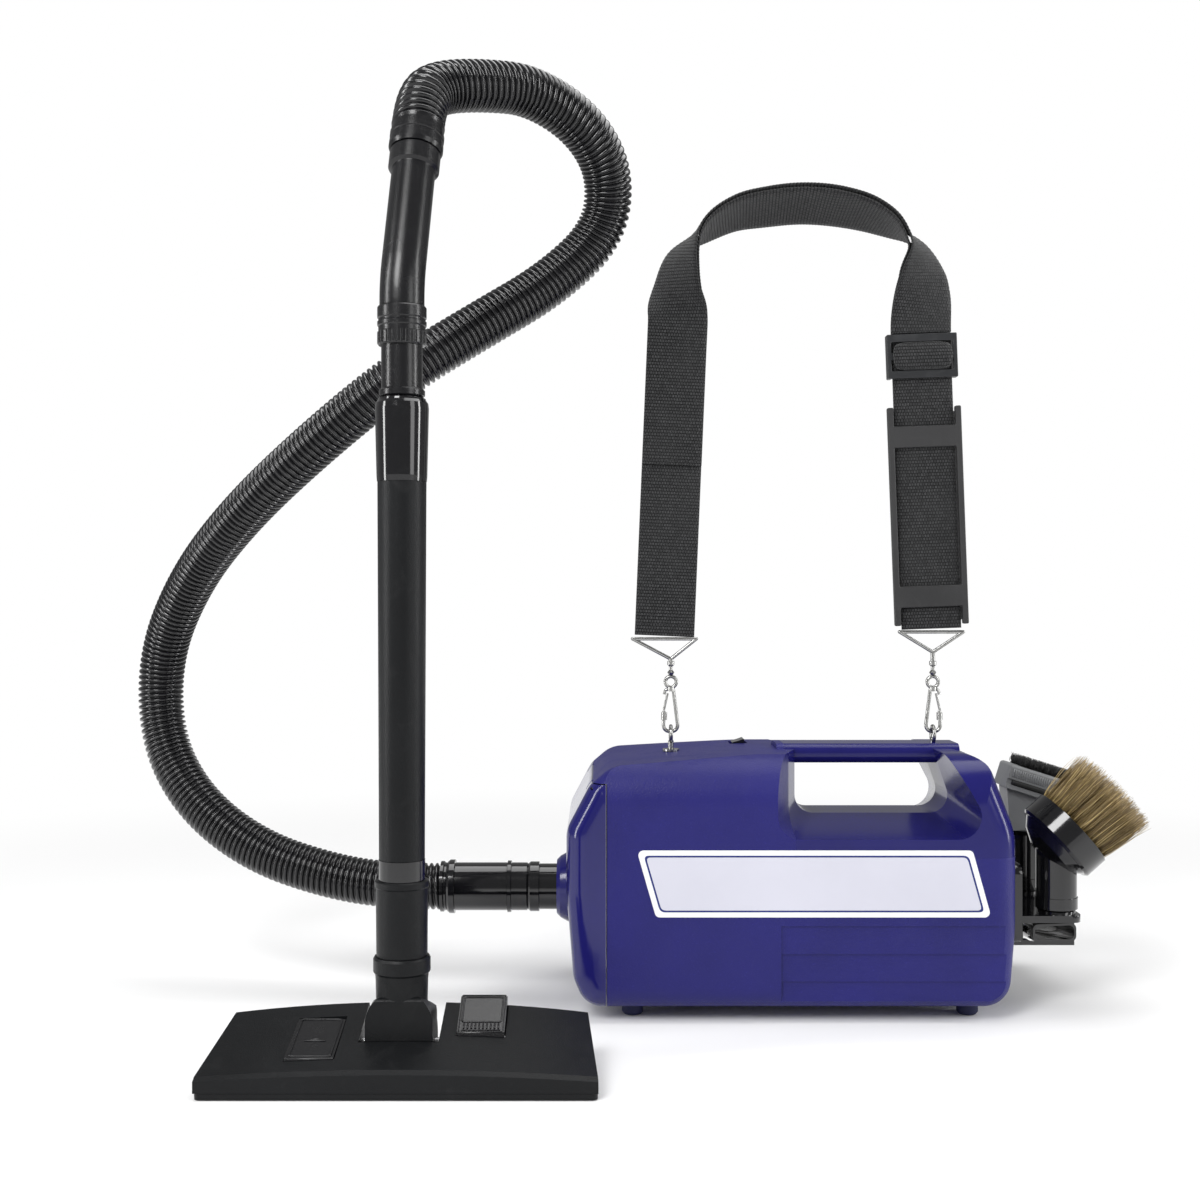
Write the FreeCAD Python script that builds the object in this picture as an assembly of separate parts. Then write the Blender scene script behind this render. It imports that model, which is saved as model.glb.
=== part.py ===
import FreeCAD, Part
import math
import os

# Portable canister vacuum cleaner: a hand-carried canister with a shoulder strap and
# tools on its rear, a corrugated hose, and a wand that stands on its floor tool.
# Millimetres.  +Z up, +X from the hose end of the canister to its tool end, and the
# front of the floor tool faces -Y.  The origin is on the floor, under the middle of
# the whole object's box, with the free hose left out of that box.

V = FreeCAD.Vector
X_AXIS = V(1, 0, 0)
Y_AXIS = V(0, 1, 0)
Z_AXIS = V(0, 0, 1)

# ------------------------------------------------------------------ driving dimensions
# canister
CAN_X = 64.5
CAN_Y = 82.5
BODY_LENGTH = 353.0
BODY_WIDTH = 188.0
BODY_TOP = 207.0
BODY_BOTTOM = 10.0
EDGE_RADIUS = 17.0
SHOULDER_RADIUS = 38.0
WALL = 3.0
FRONT_X = CAN_X - BODY_LENGTH / 2
REAR_X = CAN_X + BODY_LENGTH / 2
NEAR_Y = CAN_Y - BODY_WIDTH / 2
FAR_Y = CAN_Y + BODY_WIDTH / 2
SEAM_X = FRONT_X + 32.0
SEAM_Z = 186.0
SEAM_GAP = 0.85
HOSE_AXIS_Z = 89.0

# hose, wand and floor tool
HOSE_RADIUS = 19.25
HOSE_WALL = 2.2
WAND_X = -223.5
WAND_Y = -130.5
HEAD_X = WAND_X + 3.0
HEAD_WIDTH = 268.0
HEAD_DEPTH = 92.0
HEAD_TAPER = 8.0
HEAD_FRONT_Y = WAND_Y - 56.0
PIVOT_Z = 22.0

# strap
WEB_WIDTH = 50.0
WEB_THICKNESS = 2.4
EYE_Z = 217.0
EYE_X = (CAN_X - 90.5, CAN_X + 129.5)
HOOK_AXIS_Z = EYE_Z + 2.0

# rear tools
PEG_X = REAR_X + 43.5
BRUSH_Y = CAN_Y - 43.0
UPHOLSTERY_Y = CAN_Y + 43.0
NECK_RADIUS = 16.2
SHELF_TOP = 76.5

# the centre line of the hose, from the cuff at the canister to the cuff at the wand
HOSE_ROUTE = [
    (-218.7, 82.5, 89.0), (-257.6, 82.5, 89.0), (-313.6, 92.1, 95.5), (-380.6, 106.1, 115.0),
    (-437.1, 124.1, 153.0), (-471.6, 144.1, 206.0), (-473.1, 144.1, 281.0), (-437.1, 109.1, 346.5),
    (-383.1, 64.1, 400.5), (-313.6, 24.1, 455.0), (-242.2, -0.9, 507.0), (-179.2, 19.1, 549.5),
    (-125.7, 39.1, 585.5), (-82.7, 44.1, 627.0), (-76.7, 29.1, 671.5), (-97.2, 4.1, 703.0),
    (-137.7, -20.9, 722.5), (-174.7, -44.9, 718.0), (-205.0, -62.5, 710.5), (-216.5, -78.0, 696.0),
    (-217.6, -86.2, 673.4),
]


# ------------------------------------------------------------------ helpers
def save(name, shape):
    """Write one sub-part, and refuse one that is not made of sound solids."""
    if not shape.isValid() or not shape.Solids:
        raise RuntimeError(name + " is not a valid solid")
    shape.exportStep("parts/" + name + ".step")


def box(x0, x1, y0, y1, z0, z1):
    return Part.makeBox(x1 - x0, y1 - y0, z1 - z0, V(x0, y0, z0))


def rod(start, axis, radius, length):
    return Part.makeCylinder(radius, length, start, axis)


def ring(start, axis, outer, inner, length):
    return rod(start, axis, outer, length).cut(rod(start, axis, inner, length))


def group(shapes):
    return Part.makeCompound(shapes)


def join(shapes):
    return shapes[0].multiFuse(shapes[1:]).removeSplitter() if len(shapes) > 1 else shapes[0]


def corner_arc(before, corner, after, radius):
    """The two tangent points and the middle of the arc that rounds a corner."""
    d_in = (corner - before).normalize()
    d_out = (after - corner).normalize()
    half = d_in.getAngle(d_out) / 2
    reach = radius * math.tan(half)
    inward = (d_out - d_in).normalize()
    middle = corner + inward * (radius / math.cos(half) - radius)
    return corner - d_in * reach, middle, corner + d_out * reach


def rounded_outline(points, radii):
    """A closed wire of lines and tangent arcs; a radius of 0 keeps the corner sharp."""
    count = len(points)
    corners = []
    for i in range(count):
        if radii[i] > 0:
            corners.append(corner_arc(points[i - 1], points[i], points[(i + 1) % count], radii[i]))
        else:
            corners.append((points[i], None, points[i]))
    edges = []
    for i in range(count):
        start, middle, end = corners[i]
        if middle is not None:
            edges.append(Part.Arc(start, middle, end).toShape())
        next_start = corners[(i + 1) % count][0]
        if end.distanceToPoint(next_start) > 1e-6:
            edges.append(Part.LineSegment(end, next_start).toShape())
    return Part.Wire(edges)


def prism(points, radii, direction):
    return Part.Face(rounded_outline(points, radii)).extrude(direction)


def side_prism(outline, radii, y0, y1):
    """An outline given as (x, z) points, pushed from y0 to y1."""
    return prism([V(x, y0, z) for x, z in outline], radii, V(0, y1 - y0, 0))


def plan_prism(outline, radii, z0, z1):
    """An outline given as (x, y) points, pushed from z0 to z1."""
    return prism([V(x, y, z0) for x, y in outline], radii, V(0, 0, z1 - z0))


def end_prism(outline, radii, x0, x1):
    """An outline given as (y, z) points, pushed from x0 to x1."""
    return prism([V(x0, y, z) for y, z in outline], radii, V(x1 - x0, 0, 0))


def rounded_rect(a0, a1, b0, b1):
    return [(a0, b0), (a1, b0), (a1, b1), (a0, b1)]


def fillet_where(shape, radius, keep):
    """Round the edges that the test keeps."""
    edges = [edge for edge in shape.Edges if keep(edge)]
    return shape.makeFillet(radius, edges)


def flat_at_y(y):
    """A test for edges that lie in the plane of one y."""
    return lambda edge: abs(edge.BoundBox.YMin - y) < 0.01 and abs(edge.BoundBox.YMax - y) < 0.01


def turned(profile, start, axis):
    """A solid of revolution: the profile's (distance, radius) points run along the axis."""
    points = [V(radius, 0, distance) for distance, radius in profile]
    points.append(points[0])
    solid = Part.Face(Part.makePolygon(points)).revolve(V(0, 0, 0), Z_AXIS, 360)
    solid.Placement = FreeCAD.Placement(start, FreeCAD.Rotation(Z_AXIS, axis))
    return solid


def tube_profile(outside, inner, first, last):
    """The outside's (distance, radius) points, closed by a straight bore."""
    return [(first, inner)] + outside + [(last, inner)]


def arc_radii(points):
    """The largest arc that each corner's two runs allow."""
    radii = []
    for before, corner, after in zip(points, points[1:], points[2:]):
        d_in = corner - before
        d_out = after - corner
        half = d_in.getAngle(d_out) / 2
        radii.append(0.45 * min(d_in.Length, d_out.Length) / math.tan(half))
    return radii


def tangent_path(points, radii):
    """Straight runs joined by tangent arcs, in one wire."""
    edges = []
    here = points[0]
    for i, radius in enumerate(radii):
        start, middle, end = corner_arc(points[i], points[i + 1], points[i + 2], radius)
        edges.append(Part.LineSegment(here, start).toShape())
        edges.append(Part.Arc(start, middle, end).toShape())
        here = end
    edges.append(Part.LineSegment(here, points[-1]).toShape())
    return Part.Wire(edges)


def sweep(path, start, direction, radius):
    section = Part.Wire(Part.makeCircle(radius, start, direction))
    return path.makePipeShell([section], True, False)


def bent_rod(points, radii, radius):
    path = tangent_path(points, radii)
    return sweep(path, points[0], points[1] - points[0], radius)


# ------------------------------------------------------------------ canister casing
def body_outline(inset):
    """The canister's side outline, as (x, z) points with their corner radii."""
    front = FRONT_X + inset
    rear = REAR_X - inset
    low = BODY_BOTTOM + inset
    high = BODY_TOP - inset
    points = [
        (front + 15.0, low), (front + 5.5, low + 22.0), (front, 100.0), (front, 149.0),
        (front + 18.5, 184.0 - inset / 2), (front + 36.0, high - 8.0), (CAN_X - 30.0, high - 0.6),
        (rear - 23.0, high), (rear, 147.0), (rear, low + 60.0), (rear - 5.0, low),
    ]
    radii = [20.0, 30.0, 60.0, 26.0, 22.0, 26.0, 300.0, 22.0, 60.0, 300.0, 22.0]
    if inset:
        radii = [max(r - inset, 8.0) for r in radii]
    return points, radii


def body_block(inset):
    points, radii = body_outline(inset)
    y0 = NEAR_Y + inset
    y1 = FAR_Y - inset
    block = side_prism(points, radii, y0, y1)
    radius = EDGE_RADIUS - inset
    sides = (flat_at_y(y0), flat_at_y(y1))
    block = fillet_where(block, radius, lambda edge: sides[0](edge) or sides[1](edge))
    shoulder = SHOULDER_RADIUS - inset
    section = rounded_rect(y0, y1, -20.0, BODY_TOP - inset)
    return block.common(end_prism(section, [0, 0, shoulder, shoulder], FRONT_X - 1.0, REAR_X + 1.0))


GRIP_HALF = 22.0
GRIP_BOTTOM = 194.5
GRIP_TOP = 210.5
GRIP_CORNER = 7.5
RECESS_SIDE_FLOOR = 143.0
RECESS_MID_FLOOR = 154.0
OPEN_TOP = BODY_TOP + 25.0


def handle_recess():
    """The scoops on both sides of the grip, and the finger gap that joins them."""
    def outline(y, left, right_top, right_low, floor, corner):
        points = [V(left, y, floor), V(left, y, OPEN_TOP), V(right_top, y, OPEN_TOP), V(right_low, y, floor)]
        return rounded_outline(points, [corner, 0, 0, corner])

    deep = (CAN_X + 10.5, CAN_X + 116.0, CAN_X + 142.5, RECESS_MID_FLOOR, 15.0)
    wide = (CAN_X - 12.0, CAN_X + 111.0, CAN_X + 159.0, RECESS_SIDE_FLOOR, 18.0)
    grip_near = CAN_Y - GRIP_HALF
    grip_far = CAN_Y + GRIP_HALF
    near = Part.makeLoft([outline(NEAR_Y - 1.0, *wide), outline(grip_near, *deep)], True, True)
    far = Part.makeLoft([outline(FAR_Y + 1.0, *wide), outline(grip_far, *deep)], True, True)
    middle = Part.Face(outline(grip_near, *deep)).extrude(V(0, grip_far - grip_near, 0))
    return join([near, middle, far])


def grip_bar():
    """The rounded bar that the hand closes on."""
    section = rounded_rect(CAN_Y - GRIP_HALF, CAN_Y + GRIP_HALF, GRIP_BOTTOM, GRIP_TOP)
    bar = end_prism(section, [GRIP_CORNER] * 4, CAN_X - 4.0, CAN_X + 147.0)
    left_drop = side_prism([(CAN_X - 30.0, 120.0), (CAN_X + 3.0, 120.0), (CAN_X + 3.0, 204.0),
                            (CAN_X - 30.0, GRIP_BOTTOM)], [0, 0, 0, 0], NEAR_Y, FAR_Y)
    return bar.cut(left_drop)


def step_ribs():
    """Three shallow steps that draw the sides and the rear in, towards the bottom."""
    cuts = []
    for level, depth in ((76.0, 1.1), (54.0, 2.2), (32.5, 3.3)):
        start = CAN_X - 9.0
        cuts.append(box(start, REAR_X + 5, NEAR_Y - 5, NEAR_Y + depth, 0, level))
        cuts.append(box(start, REAR_X + 5, FAR_Y - depth, FAR_Y + 5, 0, level))
        cuts.append(box(REAR_X - depth, REAR_X + 5, NEAR_Y - 5, FAR_Y + 5, 0, level))
    return cuts


def casing():
    """The hollow outer skin, still in one piece."""
    outside = body_block(0.0)
    outside = outside.cut(step_ribs())
    outside = outside.cut(handle_recess()).fuse(grip_bar())
    hollow = body_block(WALL + 1.6)
    under_grip = box(CAN_X - 19.0, REAR_X + 5, NEAR_Y, FAR_Y, RECESS_SIDE_FLOOR - 5.0, OPEN_TOP)
    return outside.cut(hollow.cut(under_grip)).removeSplitter()


HINGE_X = FRONT_X + 20.0
HINGE_Z = SEAM_Z - 4.2
HINGE_PIN_RADIUS = 1.0
HINGE_LUG_Y = (CAN_Y - 62.0, CAN_Y + 56.0)
HINGE_LUG_WIDTH = 6.0
KNUCKLE_RADIUS = 2.7

BOSS_RADIUS = 25.5
BOSS_REACH = 9.5
INLET_RADIUS = 18.96
INLET_DEPTH = 26.0

VENT_Z = (20.0, 50.0)
VENT_HALF = 42.0
GLAND_Y = CAN_Y + 66.0
GLAND_Z = 38.0
GLAND_HOLE = 7.0
SWITCH_X = CAN_X - 31.0
SWITCH_Y = CAN_Y + 40.0
SWITCH_HALF_X = 7.0
SWITCH_HALF_Y = 11.0


def hinge_lugs():
    """Two lugs under the brow of the casing, which hold the cover's pin."""
    lugs = []
    for y in HINGE_LUG_Y:
        lug = rod(V(HINGE_X, y, HINGE_Z), Y_AXIS, KNUCKLE_RADIUS, HINGE_LUG_WIDTH)
        web = box(HINGE_X - 1.6, HINGE_X + KNUCKLE_RADIUS, y, y + HINGE_LUG_WIDTH, HINGE_Z, SEAM_Z + 3.5)
        lugs.append(lug.fuse(web).cut(rod(V(HINGE_X, y, HINGE_Z), Y_AXIS, HINGE_PIN_RADIUS, HINGE_LUG_WIDTH)))
    return lugs


def cover_zone(gap):
    """The space left of the vertical seam and under the level one."""
    return box(FRONT_X - 20, SEAM_X - gap, NEAR_Y - 5, FAR_Y + 5, 0, SEAM_Z - gap)


def body_openings():
    """What is cut through the casing: vent, cord hole, switch and latch catch."""
    vent = box(REAR_X - 12, REAR_X + 5, CAN_Y - VENT_HALF, CAN_Y + VENT_HALF, *VENT_Z)
    cord = rod(V(REAR_X - 15, GLAND_Y, GLAND_Z), X_AXIS, GLAND_HOLE, 20)
    switch = box(SWITCH_X - SWITCH_HALF_X - 0.5, SWITCH_X + SWITCH_HALF_X + 0.5,
                 SWITCH_Y - SWITCH_HALF_Y - 0.5, SWITCH_Y + SWITCH_HALF_Y + 0.5, BODY_TOP - 12, BODY_TOP + 5)
    return [vent, cord, switch]


def make_casing():
    whole = casing()
    fixings = rubber_feet() + strap_eyes() + case_screws() + caddy_screws()
    body = whole.cut([cover_zone(0.0)] + body_openings() + fixings)
    body = body.fuse([lug.common(body_block(0.0)) for lug in hinge_lugs()])
    near_half = box(FRONT_X - 20, REAR_X + 20, NEAR_Y - 10, CAN_Y, 0, OPEN_TOP)
    far_half = box(FRONT_X - 20, REAR_X + 20, CAN_Y, FAR_Y + 10, 0, OPEN_TOP)
    save("near_shell", body.common(near_half))
    save("far_shell", body.common(far_half))
    make_cover(whole)


LATCH_HALF = 13.0
LATCH_X = (SEAM_X - 17.0, SEAM_X - 5.0)
LATCH_Z = (BODY_BOTTOM - 1.0, BODY_BOTTOM + 9.0)


def make_cover(whole):
    """The front cover with the hose inlet, its knuckles and its sealing lip."""
    inlet = V(FRONT_X - BOSS_REACH, CAN_Y, HOSE_AXIS_Z)
    boss_length = BOSS_REACH + INLET_DEPTH
    boss = turned([(0, 0), (0, BOSS_RADIUS - 3.0), (3.0, BOSS_RADIUS), (BOSS_REACH, BOSS_RADIUS + 3.5),
                   (boss_length, BOSS_RADIUS - 3.0), (boss_length, 0)], inlet, X_AXIS)
    cover = whole.common(cover_zone(SEAM_GAP)).fuse(boss)
    cover = cover.cut(rod(inlet, X_AXIS, INLET_RADIUS, boss_length))
    first = HINGE_LUG_Y[0] + HINGE_LUG_WIDTH + 0.4
    last = HINGE_LUG_Y[1] - 0.4
    knuckle = rod(V(HINGE_X, first, HINGE_Z), Y_AXIS, KNUCKLE_RADIUS, last - first)
    cover = cover.fuse(knuckle.common(body_block(0.0)))
    bore = rod(V(HINGE_X, NEAR_Y, HINGE_Z), Y_AXIS, HINGE_PIN_RADIUS + 0.05, BODY_WIDTH)
    notches = [box(HINGE_X - 12, HINGE_X + 8, y - 0.4, y + HINGE_LUG_WIDTH + 0.4, HINGE_Z - 3.6, SEAM_Z)
               for y in HINGE_LUG_Y]
    latch_hole = box(LATCH_X[0] - 0.4, LATCH_X[1] + 0.4, CAN_Y - LATCH_HALF - 0.4, CAN_Y + LATCH_HALF + 0.4,
                     0, LATCH_Z[1] + 8)
    save("front_cover", cover.cut([bore, latch_hole] + notches))
    pin = rod(V(HINGE_X, HINGE_LUG_Y[0], HINGE_Z), Y_AXIS, HINGE_PIN_RADIUS,
              HINGE_LUG_Y[1] + HINGE_LUG_WIDTH - HINGE_LUG_Y[0])
    save("cover_hinge_pin", pin)
    seal_start = V(FRONT_X + INLET_DEPTH + 0.2, CAN_Y, HOSE_AXIS_Z)
    save("inlet_seal", ring(seal_start, X_AXIS, 22.0, 15.0, 2.5))
    latch = box(LATCH_X[0], LATCH_X[1], CAN_Y - LATCH_HALF, CAN_Y + LATCH_HALF, *LATCH_Z)
    latch = fillet_where(latch, 1.2, lambda edge: edge.BoundBox.ZMax < LATCH_Z[0] + 0.1)
    save("cover_latch", latch)


# ------------------------------------------------------------------ canister fittings
def rear_profile_x(z):
    """The rear face's x at a height, on its slanted lower part."""
    return REAR_X if z > 70 else REAR_X - 5.0 * (70 - z) / 60


def rubber_feet():
    foot_spots = [(CAN_X + x, CAN_Y + y) for x in (-124.0, 143.0) for y in (-62.0, 62.0)]
    return [turned([(0, 0), (0, 7.0), (2.0, 8.5), (13.0, 8.5), (13.0, 0)], V(x, y, 0), Z_AXIS)
            for x, y in foot_spots]


def make_fittings():
    save("rubber_feet", group(rubber_feet()))
    save("strap_eyes", group(strap_eyes()))
    make_label()
    make_switch()
    grille_x = rear_profile_x(sum(VENT_Z) / 2) - 7.0
    frame = box(grille_x, grille_x + 3.0, CAN_Y - VENT_HALF + 0.3, CAN_Y + VENT_HALF - 0.3,
                VENT_Z[0] + 0.3, VENT_Z[1] - 0.3)
    slots = [box(grille_x - 1, grille_x + 4, CAN_Y - VENT_HALF + 6, CAN_Y + VENT_HALF - 6, z, z + 2.4)
             for z in [VENT_Z[0] + 3.5 + 5.0 * i for i in range(5)]]
    save("exhaust_grille", frame.cut(slots))
    filter_pad = box(grille_x - 13.0, grille_x - 0.3, CAN_Y - VENT_HALF + 0.5, CAN_Y + VENT_HALF - 0.5,
                     VENT_Z[0] + 2.0, VENT_Z[1] - 0.5)
    save("exhaust_filter", filter_pad)
    gland = turned([(0, 3.6), (0, 6.9), (9.0, 6.9), (9.0, 9.5), (12.5, 9.5), (14.0, 7.5), (26.0, 5.2),
                    (26.0, 3.6)],
                   V(rear_profile_x(GLAND_Z) - 8.35, GLAND_Y, GLAND_Z), X_AXIS)
    save("cord_gland", gland)


def make_label():
    """The blank badge plate on the near side, a slanted four-sided field."""
    outline = [(CAN_X - 121.5, 135.0), (CAN_X - 106.5, 83.0), (CAN_X + 154.0, 83.0), (CAN_X + 139.5, 135.0)]
    save("side_badge", side_prism(outline, [4.0] * 4, NEAR_Y - 0.5, NEAR_Y))


def strap_eyes():
    """Chrome eyes that the strap hooks clip to, each on a screwed-down foot."""
    eyes = []
    for x, top in zip(EYE_X, (203.2, 206.9)):
        loop = Part.makeTorus(6.5, 1.5, V(x, CAN_Y, EYE_Z), X_AXIS)
        stem = rod(V(x, CAN_Y, top - 4.0), Z_AXIS, 2.4, EYE_Z - 5.6 - top + 4.0)
        flange = rod(V(x, CAN_Y, top - 0.4), Z_AXIS, 7.0, 1.8)
        eyes.append(loop.fuse([stem, flange]))
    return eyes


def make_switch():
    """The rocker and its housing in the top of the casing."""
    low = BODY_TOP - 22.0
    housing = box(SWITCH_X - SWITCH_HALF_X, SWITCH_X + SWITCH_HALF_X, SWITCH_Y - SWITCH_HALF_Y,
                  SWITCH_Y + SWITCH_HALF_Y, low, BODY_TOP - 5.0)
    well = box(SWITCH_X - 6.0, SWITCH_X + 6.0, SWITCH_Y - 9.4, SWITCH_Y + 9.4, BODY_TOP - 14.0, BODY_TOP)
    pin = rod(V(SWITCH_X, SWITCH_Y - SWITCH_HALF_Y, BODY_TOP - 7.0), Y_AXIS, 1.5, 2 * SWITCH_HALF_Y)
    save("switch_housing", housing.cut([well, pin]))
    save("switch_pin", pin)
    top = BODY_TOP
    rocker = side_prism([(SWITCH_X - 5.0, top - 8.5), (SWITCH_X + 5.0, top - 8.5),
                         (SWITCH_X + 5.2, top + 3.0), (SWITCH_X, top + 1.2),
                         (SWITCH_X - 5.2, top - 0.2)], [3.0, 3.0, 0.6, 8.0, 0.6],
                        SWITCH_Y - 9.0, SWITCH_Y + 9.0)
    save("power_switch", rocker.cut(rod(V(SWITCH_X, SWITCH_Y - 20, top - 7.0), Y_AXIS, 1.56, 40)))


# ------------------------------------------------------------------ inside the canister
BULKHEAD_X = CAN_X - 8.0
MOTOR_X = CAN_X + 12.0
MOTOR_LENGTH = 120.0
MOTOR_RADIUS = 56.0
MOTOR_Z = 76.0


def make_insides():
    bulkhead = box(BULKHEAD_X, BULKHEAD_X + 4.0, NEAR_Y + 8, FAR_Y - 8, BODY_BOTTOM + 10, 134.0)
    bulkhead = bulkhead.cut(rod(V(BULKHEAD_X - 1, CAN_Y, MOTOR_Z), X_AXIS, 34.0, 6))
    save("motor_bulkhead", bulkhead)
    save("motor_filter", rod(V(BULKHEAD_X - 8.3, CAN_Y, MOTOR_Z), X_AXIS, 42.0, 8.0))
    start = V(MOTOR_X, CAN_Y, MOTOR_Z)
    fan_end = 42.0
    can = turned([(0, 20.0), (0, MOTOR_RADIUS), (fan_end, MOTOR_RADIUS), (fan_end, 40.0),
                  (MOTOR_LENGTH, 40.0), (MOTOR_LENGTH, 12.0), (MOTOR_LENGTH - 3, 12.0),
                  (MOTOR_LENGTH - 3, 37.0), (fan_end - 3, 37.0), (fan_end - 3, MOTOR_RADIUS - 2.0),
                  (2.0, MOTOR_RADIUS - 2.0), (2.0, 20.0)],
                 start, X_AXIS)
    save("motor_can", can)
    stator = ring(V(MOTOR_X + 58.0, CAN_Y, MOTOR_Z), X_AXIS, 36.9, 24.0, 34.0)
    save("motor_stator", stator)
    mounts = [ring(V(MOTOR_X - 7.8, CAN_Y, MOTOR_Z), X_AXIS, 54.0, 44.0, 7.7),
              ring(V(MOTOR_X + MOTOR_LENGTH + 0.1, CAN_Y, MOTOR_Z), X_AXIS, 30.0, 18.0, 8.0)]
    save("motor_mounts", group(mounts))
    shaft_start = V(MOTOR_X + 6.0, CAN_Y, MOTOR_Z)
    save("motor_shaft", rod(shaft_start, X_AXIS, 4.0, MOTOR_LENGTH - 8.0))
    bearings = [ring(V(MOTOR_X + 40.0, CAN_Y, MOTOR_Z), X_AXIS, 11.0, 4.03, 7.0),
                ring(V(MOTOR_X + MOTOR_LENGTH - 11.0, CAN_Y, MOTOR_Z), X_AXIS, 11.0, 4.03, 7.0)]
    save("motor_bearings", group(bearings))
    arms = [ring(V(MOTOR_X + 39.0, CAN_Y, MOTOR_Z), X_AXIS, 36.9, 11.0, 3.0),
            ring(V(MOTOR_X + MOTOR_LENGTH - 6.0, CAN_Y, MOTOR_Z), X_AXIS, 36.9, 11.0, 2.9)]
    save("bearing_plates", group(arms))
    save("armature", ring(V(MOTOR_X + 60.0, CAN_Y, MOTOR_Z), X_AXIS, 23.0, 4.0, 32.0))
    make_impeller()
    save("dust_bag", bag_block(0.0).cut(bag_block(1.6)))
    collar = box(SEAM_X + 0.6, SEAM_X + 3.4, CAN_Y - 45.0, CAN_Y + 45.0,
                 HOSE_AXIS_Z - 45.0, HOSE_AXIS_Z + 45.0)
    save("bag_collar", collar.cut(rod(V(SEAM_X, CAN_Y, HOSE_AXIS_Z), X_AXIS, 17.0, 5)))
    save("case_screws", group(case_screws() + caddy_screws()))


def bag_block(inset):
    """The full dust bag's rounded block, drawn in by an inset."""
    half = 74.0 - inset
    outline = [(SEAM_X + 4.0 + inset, 22.0 + inset), (CAN_X - 30.0 - inset, 22.0 + inset),
               (CAN_X - 26.0 - inset, 176.0 - inset), (SEAM_X + 12.0 + inset, 180.0 - inset)]
    block = side_prism(outline, [26.0 - inset] * 4, CAN_Y - half, CAN_Y + half)
    ends = (flat_at_y(CAN_Y - half), flat_at_y(CAN_Y + half))
    return fillet_where(block, 18.0 - inset, lambda edge: ends[0](edge) or ends[1](edge))


def make_impeller():
    """The suction fan: two discs with curved blades between them."""
    x0 = MOTOR_X + 9.0
    centre = V(x0, CAN_Y, MOTOR_Z)
    back = ring(V(x0 + 18.0, CAN_Y, MOTOR_Z), X_AXIS, 51.0, 4.0, 2.0)
    front = ring(centre, X_AXIS, 51.0, 19.0, 2.0)
    hub = ring(V(x0 + 2.0, CAN_Y, MOTOR_Z), X_AXIS, 11.0, 4.0, 16.0)
    blades = []
    for i in range(9):
        blade = box(x0 + 1.5, x0 + 18.5, CAN_Y - 1.0, CAN_Y + 1.0, MOTOR_Z + 9.5, MOTOR_Z + 49.0)
        blade.rotate(V(x0, CAN_Y, MOTOR_Z + 9.5), X_AXIS, 28.0)
        blade.rotate(centre, X_AXIS, 40.0 * i)
        blades.append(blade)
    wheel = join([back, front, hub] + blades)
    save("fan_impeller", wheel.common(rod(centre, X_AXIS, 51.0, 20.0)))


# ------------------------------------------------------------------ hose and its cuffs
def make_hose():
    points = [V(*point) for point in HOSE_ROUTE]
    radii = arc_radii(points)
    print("hose arc radii", [round(radius) for radius in radii])
    path = tangent_path(points, radii)
    direction = points[1] - points[0]
    outer = sweep(path, points[0], direction, HOSE_RADIUS)
    inner = sweep(path, points[0], direction, HOSE_RADIUS - HOSE_WALL)
    hose = outer.cut(inner)
    section = math.pi * (HOSE_RADIUS ** 2 - (HOSE_RADIUS - HOSE_WALL) ** 2)
    print("hose length", round(path.Length))
    print("volume over section x length", round(hose.Volume / section / path.Length, 4))
    save("hose", hose)
    make_machine_cuff(points[0])
    make_hand_cuff(points[-1], (points[-2] - points[-1]).normalize())


def make_machine_cuff(hose_end):
    """The stepped cuff that turns in the canister's inlet; its bore takes the hose's air."""
    length = FRONT_X - BOSS_REACH - hose_end.x
    tip = length + BOSS_REACH + 17.0
    outside = [(0, 19.2), (0, 21.0), (2.5, 21.0), (3.5, 19.8), (5.0, 19.8), (6.0, 21.0), (7.6, 22.2),
               (11.8, 22.2), (12.4, 19.8), (55.5, 19.8), (56.0, 21.4), (59.0, 21.4), (59.5, 19.8), (72.2, 19.8),
               (73.0, 18.9), (75.0, 20.6), (82.4, 20.6), (82.9, 18.9), (tip, 18.9)]
    cuff = turned(tube_profile(outside, 15.5, 0, tip), hose_end, X_AXIS)
    save("machine_cuff", cuff)


def make_hand_cuff(hose_end, up):
    """The banded cuff on the hose's hand end, and the bent tube it turns on."""
    length = 23.0
    base = hose_end - up * length
    outside = [(0, 18.4), (3.0, 19.6), (7.0, 19.6), (7.6, 19.0), (11.0, 19.0), (11.6, 19.6), (15.0, 19.6),
               (15.6, 19.0), (length - 3.0, 19.0), (length, 19.4)]
    save("hose_hand_cuff", turned(tube_profile(outside, 13.46, 0, length), base, up))
    make_hand_tube(base, up)


# ------------------------------------------------------------------ wand
HAND_BORE = 11.4
BEND_Z = 551.4
HAND_TUBE_RADIUS = 14.4
GRIP_TUBE_RADIUS = 15.6


def bend_sector(start, axis, centre, turn, radius):
    """The part of a ring that a disc at the start sweeps round the centre."""
    disc = Part.Face(Part.Wire(Part.makeCircle(radius, start, Z_AXIS)))
    return disc.revolve(centre, axis, turn)


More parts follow.
